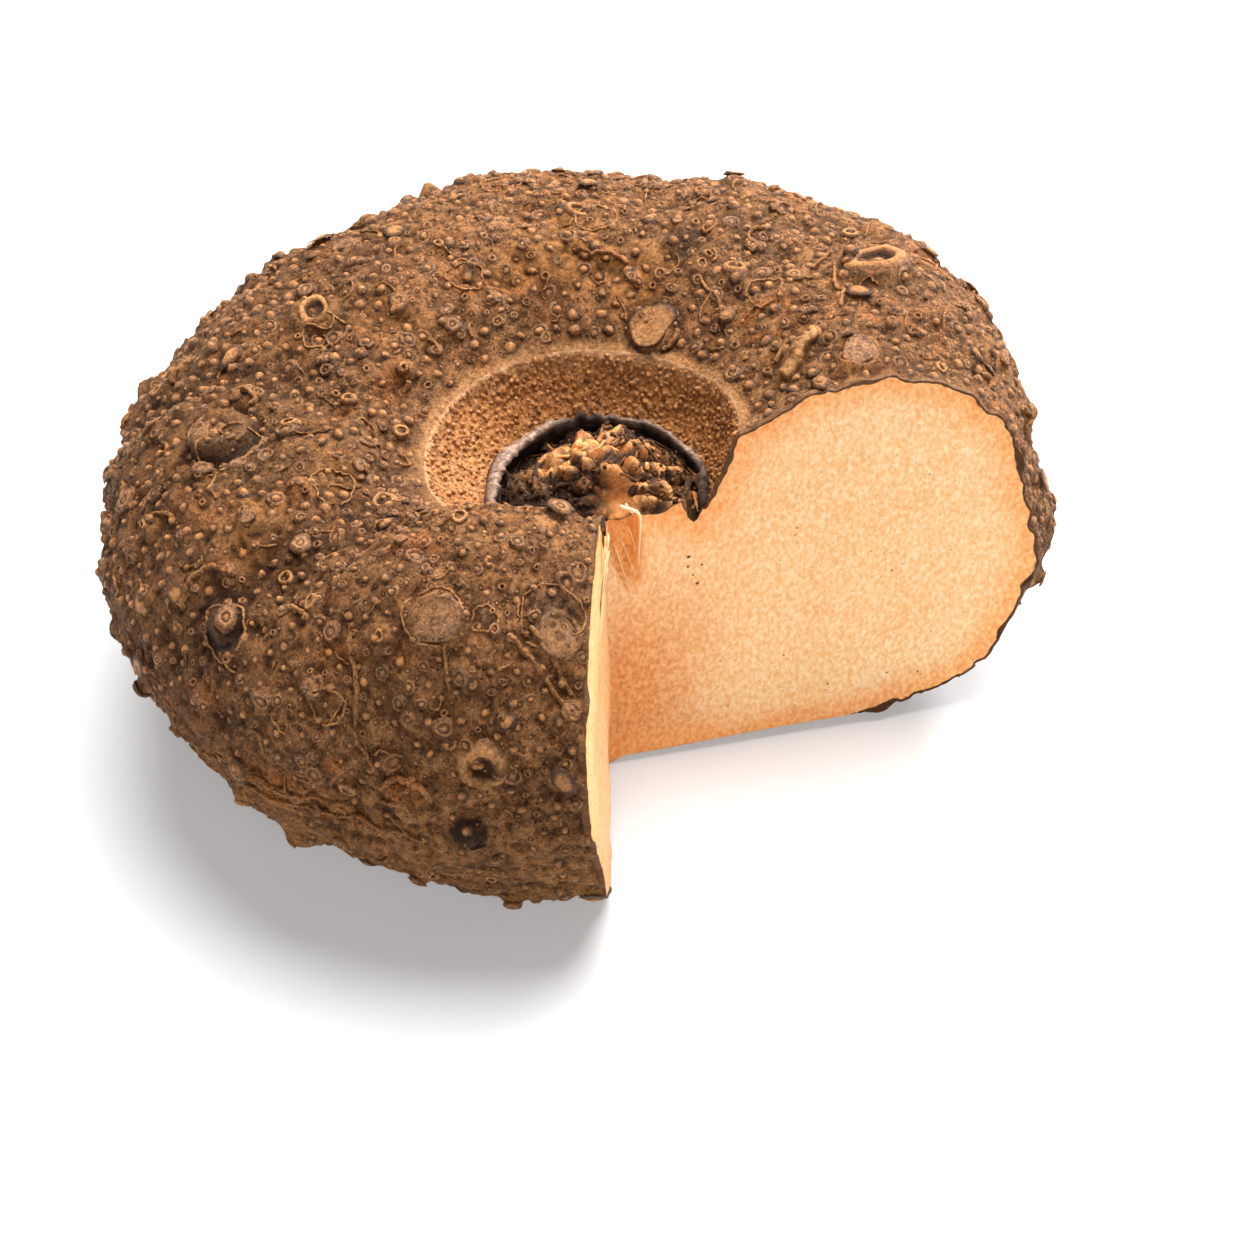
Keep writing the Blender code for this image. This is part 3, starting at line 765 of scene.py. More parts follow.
# Section of each kind of small wart, out to in: (radius, height, tan, dark, glow), in wart radii
# and heights. The dark round each wart's foot and in its grooves is partly its own brown ring and partly
# painted shade.
WARTS = {
    "bead": (
        (1.6, -0.5, 0.0, 0.6, 0.0), (1.18, 0.04, 0.0, 0.85, 0.0), (0.92, 0.5, 0.0, 0.15, 0.45),
        (0.58, 0.9, 0.1, 0.0, 0.85), (0.0, 1.08, 0.5, 0.0, 1.0),
    ),
    "eye": (
        (2.3, -0.4, 0.0, 0.0, 0.0), (1.85, 0.1, 0.1, 0.15, 0.0), (1.55, 0.34, 0.55, 0.0, 0.0),
        (1.32, 0.16, 0.0, 0.75, 0.0), (1.02, 0.12, 0.0, 0.75, 0.0), (0.84, 0.62, 0.0, 0.1, 0.6),
        (0.5, 0.98, 0.1, 0.0, 0.95), (0.0, 1.12, 0.6, 0.0, 1.0),
    ),
    "ring": (
        (1.45, -0.6, 0.0, 0.1, 0.0), (1.05, 0.05, 0.0, 0.45, 0.0), (0.84, 0.62, 0.35, 0.0, 0.1),
        (0.62, 0.58, 0.45, 0.0, 0.2), (0.44, 0.1, 0.0, 0.95, 0.0), (0.24, 0.35, 0.0, 0.3, 0.7),
        (0.0, 0.55, 0.3, 0.0, 1.0),
    ),
    "pore": (
        (1.4, -0.6, 0.0, 0.1, 0.0), (1.02, 0.15, 0.0, 0.4, 0.1), (0.78, 0.85, 0.15, 0.0, 0.75),
        (0.56, 0.74, 0.15, 0.0, 0.65), (0.4, 0.02, 0.0, 1.0, 0.0), (0.0, -0.35, 0.0, 1.0, 0.0),
    ),
    "scar": (
        (1.25, -0.9, 0.0, 0.1, 0.0), (1.0, 0.05, 0.0, 0.4, 0.0), (0.86, 0.8, 0.4, 0.0, 0.0),
        (0.72, 0.55, 0.2, 0.1, 0.0), (0.56, 0.08, 0.0, 0.75, 0.0), (0.4, 0.3, 0.1, 0.3, 0.0),
        (0.22, 0.5, 0.2, 0.1, 0.5), (0.0, 0.65, 0.3, 0.0, 0.8),
    ),
    "plate": (
        (1.1, -2.5, 0.0, 0.9, 0.0), (1.04, -0.6, 0.0, 0.95, 0.0), (1.0, 0.55, 0.1, 0.6, 0.0),
        (0.96, 0.95, 0.3, 0.1, 0.1), (0.86, 0.8, 0.8, 0.0, 0.25), (0.66, 0.92, 0.6, 0.0, 0.55),
        (0.44, 0.8, 0.85, 0.0, 0.3), (0.22, 1.0, 0.65, 0.0, 0.6), (0.0, 0.9, 0.6, 0.1, 0.3),
    ),
    "socket": (
        (1.12, -2.2, 0.2, 0.1, 0.0), (1.02, 0.0, 0.3, 0.2, 0.05), (0.92, 0.6, 0.5, 0.0, 0.4),
        (0.78, 0.95, 0.7, 0.0, 0.8), (0.64, 0.85, 0.7, 0.0, 0.6), (0.56, 0.3, 0.1, 0.6, 0.1),
        (0.52, -0.6, 0.0, 1.0, 0.0), (0.3, -0.8, 0.0, 0.9, 0.0), (0.0, -0.7, 0.0, 0.8, 0.0),
    ),
    "blister": (
        (1.1, -1.2, 0.0, 0.2, 0.0), (1.0, 0.15, 0.2, 0.4, 0.0), (0.95, 0.55, 0.55, 0.0, 0.0),
        (0.88, 0.4, 0.1, 0.3, 0.0), (0.7, 0.55, 0.1, 0.1, 0.0), (0.45, 0.8, 0.15, 0.0, 0.0),
        (0.3, 0.95, 0.35, 0.0, 0.1), (0.18, 0.6, 0.0, 0.6, 0.0), (0.0, 0.75, 0.2, 0.3, 0.4),
    ),
    "grain": (
        (1.3, -0.7, 0.0, 0.2, 0.0), (0.85, 0.45, 0.2, 0.0, 0.0), (0.0, 1.1, 0.8, 0.0, 0.3),
    ),
}
# How uneven a wart's outline is: waves round it, and their height in wart radii.
UNEVEN = ((2, 0.08), (3, 0.06), (5, 0.03))
SIDES = {"bead": 8, "eye": 8, "ring": 8, "pore": 8, "scar": 12, "grain": 5}
BOSS_SIDES = 28
TUFT_SIDES = 9
SPECK_SIDES = 6


def frame_at(normals, turn):
    """Two directions across each normal, turned about it."""
    side = np.cross(normals, np.array([0.31, 0.17, 0.93]))
    side /= np.linalg.norm(side, axis=1, keepdims=True)
    other = np.cross(normals, side)
    cos, sin = np.cos(turn)[:, None], np.sin(turn)[:, None]
    return side * cos + other * sin, other * cos - side * sin


def wart_faces(segments, rings):
    """Faces of one closed wart: rings of quads, a fan over the top and a fan under the foot."""
    faces = []
    for ring in range(rings - 1):
        for s in range(segments):
            a, b = ring * segments + s, ring * segments + (s + 1) % segments
            faces.append((a, b, b + segments, a + segments))
    last = (rings - 1) * segments
    for s in range(segments):
        n = (s + 1) % segments
        faces.append((last + s, last + n, rings * segments))
        faces.append((n, s, rings * segments + 1))
    return faces


def wart_masks(section, segments, count, draw, fade):
    """Masks of the warts. How far tan and glow show is drawn for each wart and each of its sides."""
    rings = len(section) - 1
    around_it = rings * segments
    tint = np.array([[draw.uniform(*fade)] * around_it + [draw.uniform(0.5, 1.0), 0] for _ in range(count)])
    least = max(0.35, fade[0])
    worn = np.array([[draw.uniform(least, 1.0) for _ in range(segments)] for _ in range(count)])
    worn = np.hstack([np.tile(worn, (1, rings)), np.ones((count, 2))])
    masks = {}
    for column, name in ((2, "tan"), (3, "dark"), (4, "glow")):
        values = np.append(np.repeat(section[:-1, column], segments), (section[-1, column], 0.0))
        strength = np.ones((count, 1)) if name == "dark" else tint * worn
        masks[name] = (strength * values).ravel()
    return masks


def warts(kind, segments, spots, draw, fade=(0.25, 1.0)):
    """Closed warts of one kind at (centre, normal, radius, height) spots. Fade limits their colours."""
    section = np.array(WARTS[kind])
    centres, normals, radii, heights = (np.array(column) for column in zip(*spots))
    count = len(radii)
    turn = np.array([draw.uniform(0, 2 * math.pi) for _ in range(count)])
    flat = np.array([draw.uniform(0.78, 1.0) for _ in range(count)])
    phase = np.array([[draw.uniform(0, 2 * math.pi) for _ in UNEVEN] for _ in range(count)])
    lean = np.array([[draw.uniform(-0.22, 0.22) for _ in range(2)] for _ in range(count)])
    across, along = frame_at(normals, turn)
    angles = np.arange(segments) * 2 * math.pi / segments
    uneven = 1 + sum(h * np.sin(n * angles + phase[:, k : k + 1]) for k, (n, h) in enumerate(UNEVEN))
    rings = []
    for reach, rise, *_ in section[:-1]:
        u = reach * uneven * np.cos(angles) * radii[:, None]
        v = reach * uneven * np.sin(angles) * (radii * flat)[:, None]
        up = rise * heights[:, None] + max(rise, 0) * (lean[:, :1] * u + lean[:, 1:] * v)
        ring = centres[:, None] + u[..., None] * across[:, None] + v[..., None] * along[:, None]
        rings.append(ring + up[..., None] * normals[:, None])
    ends = [centres + (rise * heights)[:, None] * normals for rise in (section[-1, 1], section[0, 1] - 0.3)]
    places = np.concatenate([*rings, np.stack(ends, 1)], 1)
    faces, size = wart_faces(segments, len(rings)), places.shape[1]
    every = [tuple(v + size * k for v in face) for k in range(count) for face in faces]
    return places.reshape(-1, 3), every, wart_masks(section, segments, count, draw, fade)


def merged(parts):
    """Joins (vertices, faces, masks) shapes into one."""
    vertices, faces, masks, start = [], [], {}, 0
    for places, loops, tints in parts:
        faces += [tuple(v + start for v in loop) for loop in loops]
        vertices.append(places)
        start += len(places)
        for name, values in tints.items():
            masks.setdefault(name, []).append(values)
    return np.vstack(vertices), faces, {name: np.concatenate(lists) for name, lists in masks.items()}


def wart_spots(skin):
    """Where the small root scars go: a list of (grid index, radius, height) for each kind."""
    draw = random.Random(SEEDS["spots"])
    groups = {}
    busy = tree_of([place_of(k[0], k[1]) for k in KNOBS])
    for index in skin.scatter(SCAR_SCATTER):
        row, column = divmod(index, COLUMNS)
        if draw.random() < 0.06 + 0.62 * float(ramp(skin.stations[row], BARE_STATIONS)):
            continue
        lobe = float(ramp(math.degrees(skin.angles[row, column]), LOBE_DIRECTIONS))
        big = draw.random() < 0.03 + 0.02 * lobe
        kind = "scar" if big else draw.choices(("bead", "eye", "ring", "pore"), (9, 3.5, 2, 1.6))[0]
        radius = draw.uniform(0.0018, 0.0030) if big else draw.uniform(0.00075, 0.00155 - 0.0004 * lobe)
        radius *= {"ring": 1.25, "eye": 0.85}.get(kind, 1.0)
        if not skin.clear_of_cuts(index, radius * 1.2):
            continue
        _, knob, away = busy.find(skin.places[index])
        if away < KNOBS[knob][2] * 1.1 and (big or draw.random() < 0.6):
            continue
        height = radius * (draw.uniform(0.22, 0.34) if big else draw.uniform(0.55, 1.0))
        groups.setdefault(kind, []).append((index, radius, height))
    for index in skin.scatter(GRAIN_SCATTER)[:GRAIN_COUNT]:
        if skin.clear_of_cuts(index, 0.0008):
            radius = draw.uniform(0.00024, 0.00050)
            groups.setdefault("grain", []).append((index, radius, radius * draw.uniform(0.6, 1.1)))
    return groups


def skin_warts(skin, groups, material):
    """The small root scars, in one piece for each kind."""
    draw = random.Random(SEEDS["warts"])
    made = []
    for kind, found in groups.items():
        spots = [(skin.places[index], skin.ups[index], radius, height) for index, radius, height in found]
        made.append(mesh_object(f"warts_{kind}_0", warts(kind, SIDES[kind], spots, draw), [material]))
    return made


# The biggest scars, drawn finer than the body can: direction, station, radius, height and kind.
BOSSES = (
    (78, 2.17, 0.0061, 0.0008, "plate"),
    (172, 3.30, 0.0072, 0.0006, "blister"),
    (205, 3.59, 0.0026, 0.0008, "ring"),
    (249, 3.80, 0.0064, 0.0015, "socket"),
    (248.6, 3.795, 0.0011, 0.0009, "bead"),
    (236, 3.41, 0.0064, 0.0005, "blister"),
    (259, 3.41, 0.0052, 0.0005, "blister"),
    (205, 3.39, 0.0022, 0.0010, "socket"),
    (44, 3.16, 0.0080, 0.0014, "socket"),
    (23, 2.89, 0.0052, 0.0007, "blister"),
    (144, 3.16, 0.0056, 0.0008, "socket"),
    (95, 3.05, 0.0036, 0.0008, "socket"),
    (64, 2.80, 0.0034, 0.0009, "socket"),
    (128, 3.30, 0.0040, 0.0007, "blister"),
    (108, 3.10, 0.0048, 0.0008, "blister"),
    (190, 2.60, 0.0034, 0.0008, "socket"),
    (88, 4.20, 0.0060, 0.0010, "socket"),
    (116, 4.52, 0.0060, 0.0008, "plate"),
)


def bosses(skin, material):
    """The named scars, and a small root scar on top of each of part.py's warts."""
    draw = random.Random(SEEDS["bosses"])
    small = [(place, draw.uniform(0.0012, 0.0026), 0.0005, None) for place, _, _ in cad_warts()]
    named = [(place_of(d, s), radius, height, kind) for d, s, radius, height, kind in BOSSES]
    parts = []
    for place, radius, height, kind in named + small:
        index = skin.tree.find(place)[1]
        if not skin.clear_of_cuts(index, radius * 1.2):
            continue
        kind = kind or draw.choice(("blister", "socket", "ring", "bead", "scar"))
        row, column = divmod(index, COLUMNS)
        normal = skin.normals[row - 2 : row + 3, max(column - 2, 0) : column + 3]
        normal = normal.reshape(-1, 3).mean(axis=0)
        normal /= np.linalg.norm(normal)
        spot = skin.places[index], normal, radius, height
        parts.append(warts(kind, BOSS_SIDES, [spot], draw, (0.8, 1.0)))
    return mesh_object("root_scars", merged(parts), [material])


def lining_flecks(skin, material):
    """The bristly flecks on the crater's lining."""
    draw = random.Random(SEEDS["lining"])
    index = [i for i in skin.scatter(FLECK_SCATTER) if skin.clear_of_cuts(i, 0.0008)]
    radii = np.array([draw.uniform(0.00032, 0.00085) for _ in index])
    heights = radii * np.array([draw.uniform(0.7, 1.5) for _ in index])
    up = skin.ups[index] + np.array([[draw.gauss(0, 0.35) for _ in range(3)] for _ in index])
    up /= np.linalg.norm(up, axis=1, keepdims=True)
    shape = warts("grain", SIDES["grain"], zip(skin.places[index], up, radii, heights), draw)
    return mesh_object("lining_flecks", shape, [material])


def swept(line, across, ups, sections):
    """A closed bar along a line: a section is (across, up) pairs, for each point of the line."""
    rings = [[p + a * s + u * t for s, t in shape] for p, a, u, shape in zip(line, across, ups, sections)]
    size = len(rings[0])
    vertices = [v for ring in rings for v in ring]
    faces = []
    for i in range(len(rings) - 1):
        for k in range(size):
            n = (k + 1) % size
            faces.append((i * size + k, i * size + n, (i + 1) * size + n, (i + 1) * size + k))
    faces.append(tuple(range(size))[::-1])
    faces.append(tuple((len(rings) - 1) * size + k for k in range(size)))
    return np.array(vertices), faces


def ragged(position, seed):
    """How rough and how flapping a torn edge is at a position along it."""
    draw = random.Random(seed)
    phases = [draw.uniform(0, 6.28) for _ in range(6)]
    x = position * 1000
    small = 0.5 + 0.5 * math.sin(x * 1.9 + phases[0]) * math.sin(x * 0.83 + phases[1])
    fine = 0.5 + 0.5 * math.sin(x * 4.7 + phases[2]) * math.sin(x * 3.1 + phases[3])
    flap = max(0.0, math.sin(x * 0.21 + phases[4]) * math.sin(x * 0.094 + phases[5]) - 0.45) / 0.55
    return small * 0.5 + fine * 0.5, flap


# The papery skin edge: its masks across the section, and the least length between two sections.
EDGE_TAN = (0.0, 0.05, 0.10, 0.12, 0.0, 0.0, 0.0)
EDGE_DARK = (0.3, 0.45, 0.50, 0.55, 0.75, 0.8, 0.5)
EDGE_STEP = 0.0007


def edge_section(rough, flap):
    """Section of the skin's edge: (out of the cut, out of the skin) from the skin over the lip and back."""
    proud = 0.00002 + 0.00030 * rough + 0.0008 * flap
    lift = 0.00010 + 0.00024 * rough + 0.0010 * flap
    return (
        (-0.0024, -0.0005),
        (-0.0013, 0.00030),
        (-0.0002, lift + 0.00006),
        (proud, lift),
        (proud * 0.9, lift - 0.00022),
        (0.00010, -0.00022 - 0.00045 * rough * rough - 0.0005 * flap),
        (-0.0006, -0.0012),
    )


def skin_edge(skin, column, seed, material):
    """The papery edge of the skin along a cut, a little proud of the flesh and ragged."""
    rows = [i for i, s in enumerate(skin.stations) if 1.02 < s < 4.97]
    line = skin.points[rows, column]
    keep = [0]
    for k in range(1, len(line)):
        if np.linalg.norm(line[k] - line[keep[-1]]) > EDGE_STEP:
            keep.append(k)
    line, normals = line[keep], skin.normals[rows, column][keep]
    steps = np.linalg.norm(np.diff(line, axis=0, prepend=line[:1]), axis=1)
    sections = [edge_section(*ragged(travelled, seed)) for travelled in np.cumsum(steps)]
    out = cut_normal(column)
    ups = normals - np.outer(normals @ out, out)
    ups /= np.linalg.norm(ups, axis=1, keepdims=True)
    masks = {"tan": EDGE_TAN * len(line), "dark": EDGE_DARK * len(line)}
    shape = (*swept(line, [out] * len(line), ups, sections), masks)
    return mesh_object(f"skin_edge_{seed}", shape, [material])


def collar_section(angle, grain):
    """(section, tan, dark) of the collar: low, dark and uneven where it is broken, thick at the left. Its
    feet and inner side are darkened as painted shade.
    """
    degrees = math.degrees(angle)
    broken = float(gauss(degrees - 98, 9.0) + 0.8 * smooth_step((52 - degrees) / 24))
    thick = 1.0 + 0.55 * float(gauss(degrees - 134, 24.0)) - 0.45 * float(gauss(degrees - 70, 16.0))
    small = math.sin(angle * 23) * math.sin(angle * 7 + 1) + 0.6 * math.sin(angle * 61 + 2)
    tall = 0.0054 + 0.0007 * math.sin(angle * 3 + 1) + (0.0003 + 0.0011 * broken) * small
    inward = (-0.0012 - 0.0005 * math.sin(angle * 5 + 2) - 0.0004 * small) * thick
    section = (
        (0.0022, -0.0010),
        (0.0016 * thick, tall * 0.5),
        (0.0009 * thick + inward * 0.3, tall * (0.86 + 0.05 * small)),
        (0.0003 + inward, tall),
        (inward - 0.0006 * thick, tall * 0.88),
        (-0.0013, tall * 0.42 + 0.0004 * small),
        (-0.0018, -0.0010),
    )
    light = grain * (1 - 0.7 * broken)
    tan = [0.0, 0.3 * light, 0.8 * light, 1.1 * light, 0.6 * light, 0.0, 0.0]
    # The first and last two values are painted shade at the feet and on the inner side; broken parts are
    # darker in their own colour.
    dark = [0.6, 0.3 + 0.4 * broken, 0.7 * broken, 0.8 * broken, 0.4 + 0.5 * broken, 0.9, 1.0]
    return section, tan, dark


def scar_collar(skin, material):
    """The torn papery collar that the old stalk left round its scar."""
    draw = random.Random(SEEDS["collar"])
    line, across, sections, tan, dark = [], [], [], [], []
    for angle in np.linspace(CUT_START + 0.02, CUT_END - 0.03, COLLAR_STEPS):
        sway = 0.0007 * math.sin(angle * 4 + 2) + 0.0004 * math.sin(angle * 11)
        radius = float(around(SCAR, angle)) * 0.985 + sway
        outward = np.array([math.cos(angle), math.sin(angle), 0.0])
        line.append(CUT_CORNER + outward * radius + np.array([0, 0, SCAR_HEIGHT - 0.0012]))
        across.append(outward)
        section, lighter, darker = collar_section(angle, draw.uniform(0.6, 1.0))
        sections.append(section)
        tan += lighter
        dark += darker
    ups = [np.array([0.0, 0.0, 1.0])] * len(line)
    shape = (*swept(line, across, ups, sections), {"tan": tan, "dark": dark})
    return mesh_object("scar_collar", shape, [material])


def strand(points, width, thickness, facing, taper=True):
    """A flat strip through the points, which tapers to a tip or nearly keeps its width."""
    points = np.array(points, float)
    steps = np.linspace(0, len(points) - 1, 4 * (len(points) - 1) + 1)
    line = np.stack([np.interp(steps, range(len(points)), points[:, k]) for k in range(3)], 1)
    for _ in range(3):
        line[1:-1] = (line[:-2] + 2 * line[1:-1] + line[2:]) / 4
    tangents = np.gradient(line, axis=0)
    tangents /= np.linalg.norm(tangents, axis=1, keepdims=True)
    sides = np.cross(tangents, facing)
    sides /= np.linalg.norm(sides, axis=1, keepdims=True)
    ups = np.cross(sides, tangents)
    sections = []
    for t in np.linspace(0, 1, len(line)):
        w = width * (1 - 0.85 * t if taper else 1 - 0.3 * t) / 2
        sections.append(((-w, 0), (-w * 0.5, thickness), (w * 0.5, thickness), (w, 0), (0, -thickness)))
    return swept(line, sides, ups, sections)


def tinted(shape, **masks):
    """A (vertices, faces) shape with the same mask values all over it."""
    return (*shape, {name: np.full(len(shape[0]), value) for name, value in masks.items()})


def on_cut(column, along, height, off=0.0):
    """A point on a cut face: its distance from the cut corner, its height, and how far it stands off."""
    angle = CUT_START if column == 0 else CUT_END
    way = np.array([math.cos(angle), math.sin(angle), 0.0])
    return CUT_CORNER + way * along + np.array([0, 0, height]) + cut_normal(column) * off


# The strip that hangs by the stump, as (along the cut, height, off the cut), and streaks in the hollow
# below it, as (along the cut, height) of both ends.
HANGING = (
    (0.0030, 0.0878, 0.0008),
    (0.0058, 0.0872, 0.0020),
    (0.0080, 0.0858, 0.0024),
    (0.0081, 0.0800, 0.0020),
    (0.0078, 0.0725, 0.0016),
    (0.0079, 0.0680, 0.0012),
)
STREAKS = (
    ((0.0020, 0.0745), (0.0062, 0.0560)),
    ((0.0036, 0.0760), (0.0074, 0.0640)),
    ((0.0058, 0.0790), (0.0074, 0.0715)),
    ((0.0012, 0.0700), (0.0038, 0.0580)),
    ((0.0052, 0.0862), (0.0070, 0.0835)),
)


def torn_fibres(material):
    """The cream strips that tore instead of being cut, at the top of the left face and by the stump."""
    draw = random.Random(SEEDS["fibres"])
    parts = []
    for _ in range(FIBRE_COUNT):
        along = draw.uniform(0.0145, 0.0255)
        low, high = draw.uniform(0.062, 0.078), draw.uniform(0.084, 0.0935)
        curl = draw.uniform(0.0002, 0.0016)
        route = [
            on_cut(-1, along + draw.uniform(-0.001, 0.001), low, -0.0002),
            on_cut(-1, along, (low + high) / 2, 0.0004),
            on_cut(-1, along + draw.uniform(-0.001, 0.001), high, 0.0003 + curl),
        ]
        parts.append(tinted(strand(route, draw.uniform(0.0007, 0.0015), 0.00022, cut_normal(-1))))
    parts.append(tinted(strand([on_cut(0, *stop) for stop in HANGING], 0.0013, 0.0003, cut_normal(0))))
    for start, end in STREAKS:
        middle = ((start[0] + end[0]) / 2 + draw.uniform(-0.0004, 0.0004), (start[1] + end[1]) / 2)
        route = [on_cut(0, *start, -0.0021), on_cut(0, *middle, -0.0009), on_cut(0, *end, 0.0)]
        parts.append(tinted(strand(route, draw.uniform(0.0003, 0.0006), 0.0003, cut_normal(0))))
    return mesh_object("torn_fibres", merged(parts), [material])


def bud_scraps(skin, draw):
    """Woody scraps that lie on the stump, wilder where it is loose debris."""
    parts = []
    for index in skin.scatter(FLAKE_SCATTER):
        if not skin.clear_of_cuts(index, 0.0022):
            continue
        row, column = divmod(index, COLUMNS)
        flat = skin.plain[row, column] - CUT_CORNER
        pale, ruddy, debris, _ = bud_zones(flat)
        burnt = float(charred(flat))
        lift = 0.0002 + 0.0009 * (0.3 + debris) ** 2
        route = []
        step = draw.choice((-1, 1)) * draw.uniform(2, 30)
        for k in range(draw.randrange(2, 5)):
            i, j = min(row + 2 * k, 38), int(np.clip(column + k * step, 3, COLUMNS - 4))
            route.append(skin.points[i, j] + skin.normals[i, j] * draw.uniform(-0.0002, lift))
        shape = strand(route, draw.uniform(0.0008, 0.0024), 0.00035, skin.ups[index], taper=False)
        light = draw.random() < (pale * 1.3 + 0.6 * debris) * (1 - burnt)
        tan = draw.uniform(0.5, 1.0) if light else draw.uniform(0.0, 0.15)
        dark = 0.0 if light else max(draw.uniform(0.4, 1.0), min(1.4 * burnt, 1.0))
        glow = draw.uniform(0.4, 0.9) if draw.random() < 0.05 + ruddy else 0.0
        parts.append(tinted(shape, tan=tan, dark=dark, glow=glow))
    return parts


def bud_tufts(skin, draw):
    """Small round tufts between the scraps, blacker where the stump is rotten."""
    parts = []
    for index in skin.scatter(TUFT_SCATTER):
        flat = skin.plain.reshape(-1, 3)[index] - CUT_CORNER
        pale, ruddy, _, torn = bud_zones(flat)
        if skin.clear_of_cuts(index, 0.0015) and pale < 0.45 and ruddy < 0.6 and torn < 0.2:
            radius = draw.uniform(0.0004, 0.0009)
            kind = draw.choice(("pore", "ring", "bead"))
            spot = skin.places[index], skin.ups[index], radius, radius * 0.9
            places, faces, masks = warts(kind, TUFT_SIDES, [spot], draw, (0.0, 0.6))
            masks["dark"] = np.maximum(masks["dark"], min(1.2 * float(charred(flat)), 0.93))
            parts.append((places, faces, masks))
    return parts


def bud_flakes(skin, material):
    """Woody scraps and dark tufts of the old stalk, on its stump."""
    draw = random.Random(SEEDS["stump"])
    parts = bud_scraps(skin, draw) + bud_tufts(skin, draw)
    return mesh_object("bud_flakes", merged(parts), [material])


# Raised ridges of the skin: width, how tan they are, and the (direction, station) places they run through.
RIDGES = (
    (0.0011, 0.35, ((237.5, 3.40), (238.4, 3.46), (239.5, 3.50), (241.6, 3.582))),
    (0.0015, 0.20, ((249.0, 3.42), (250.5, 3.434), (255.8, 3.50), (262.0, 3.607), (263.5, 3.64))),
    (0.0013, 0.25, ((252.6, 3.39), (254.2, 3.41), (258.3, 3.467), (263.2, 3.574))),
    (0.0016, 0.10, ((223.0, 3.46), (224.5, 3.516), (228.6, 3.631), (230.1, 3.762), (233.7, 3.861))),
    (0.0016, 0.20, ((197.2, 3.66), (196.9, 3.639), (196.0, 3.557), (196.8, 3.492), (200.5, 3.475))),
    (0.0020, 0.25, ((234.0, 3.90), (236.0, 3.87), (239.5, 3.875), (241.5, 3.92))),
    (0.0016, 0.10, ((234.5, 3.955), (237.5, 3.935), (240.5, 3.95))),
    (0.0042, 1.00, ((29.3, 2.35), (30.4, 2.43), (31.5, 2.50), (32.8, 2.57), (34.2, 2.66))),
    (0.0014, 0.45, ((38.5, 2.98), (41.0, 3.02), (45.0, 3.03), (49.0, 3.08))),
    (0.0016, 0.20, ((211.0, 3.98), (216.0, 4.02), (222.0, 4.04), (229.0, 4.03))),
    (0.0014, 0.15, ((206.0, 4.10), (213.0, 4.14), (221.0, 4.16), (230.0, 4.13), (240.0, 4.14))),
    (0.0013, 0.20, ((86.0, 2.62), (90.0, 2.68), (94.0, 2.66), (97.0, 2.72))),
    (0.0013, 0.30, ((62.0, 2.42), (64.0, 2.50), (68.0, 2.55), (70.0, 2.62))),
)
# Fine raised threads that ring a scar: direction, station and radius.
LOOPS = (
    (235.1, 3.402, 0.0068),
    (256.6, 3.352, 0.0078),
    (175.6, 3.287, 0.0090),
    (205.0, 3.639, 0.0074),
    (146.7, 3.107, 0.0060),
    (92.2, 3.016, 0.0056),
    (120.0, 2.800, 0.0050),
    (243.6, 3.385, 0.0030),
    (225.0, 3.700, 0.0046),
    (187.4, 3.057, 0.0056),
    (55.0, 2.700, 0.0048),
    (104.0, 3.330, 0.0064),
)


def on_skin(skin, places, lift):
    """The points of the dressed skin that are nearest to places on the plain one, lifted a little."""
    found = []
    for place in places:
        index = skin.tree.find(place)[1]
        point = skin.places[index] + skin.ups[index] * lift
        if not found or np.linalg.norm(point - found[-1]) > ROUTE_STEP:
            found.append(point)
    return np.array(found)


def ridge_lines(skin):
    """(route, width, tan) of the named ridges and of the threads round the scars."""
    lines = []
    for width, tan, stops in RIDGES:
        steps = np.linspace(0, len(stops) - 1, 5 * len(stops))
        directions, stations = (np.interp(steps, range(len(stops)), values) for values in zip(*stops))
        places = [place_of(d, s) for d, s in zip(directions, stations)]
        lines.append((on_skin(skin, places, width * 0.1), width, tan))
    turns = np.linspace(0, 2 * math.pi * 0.96, 44)
    for k, (direction, station, radius) in enumerate(LOOPS):
        centre = np.array(place_of(direction, station))
        normal = skin.ups[skin.tree.find(centre)[1]]
        across, along = frame_at(normal[None], np.array([k * 1.0]))
        reach = radius * (1 + 0.06 * np.sin(3 * turns + k) + 0.04 * np.sin(5 * turns + 2 * k))
        ring = centre + np.outer(reach * np.cos(turns), across[0]) + np.outer(reach * np.sin(turns), along[0])
        lines.append((on_skin(skin, ring, LOOP_LIFT), LOOP_WIDTH, LOOP_TAN))
    return lines


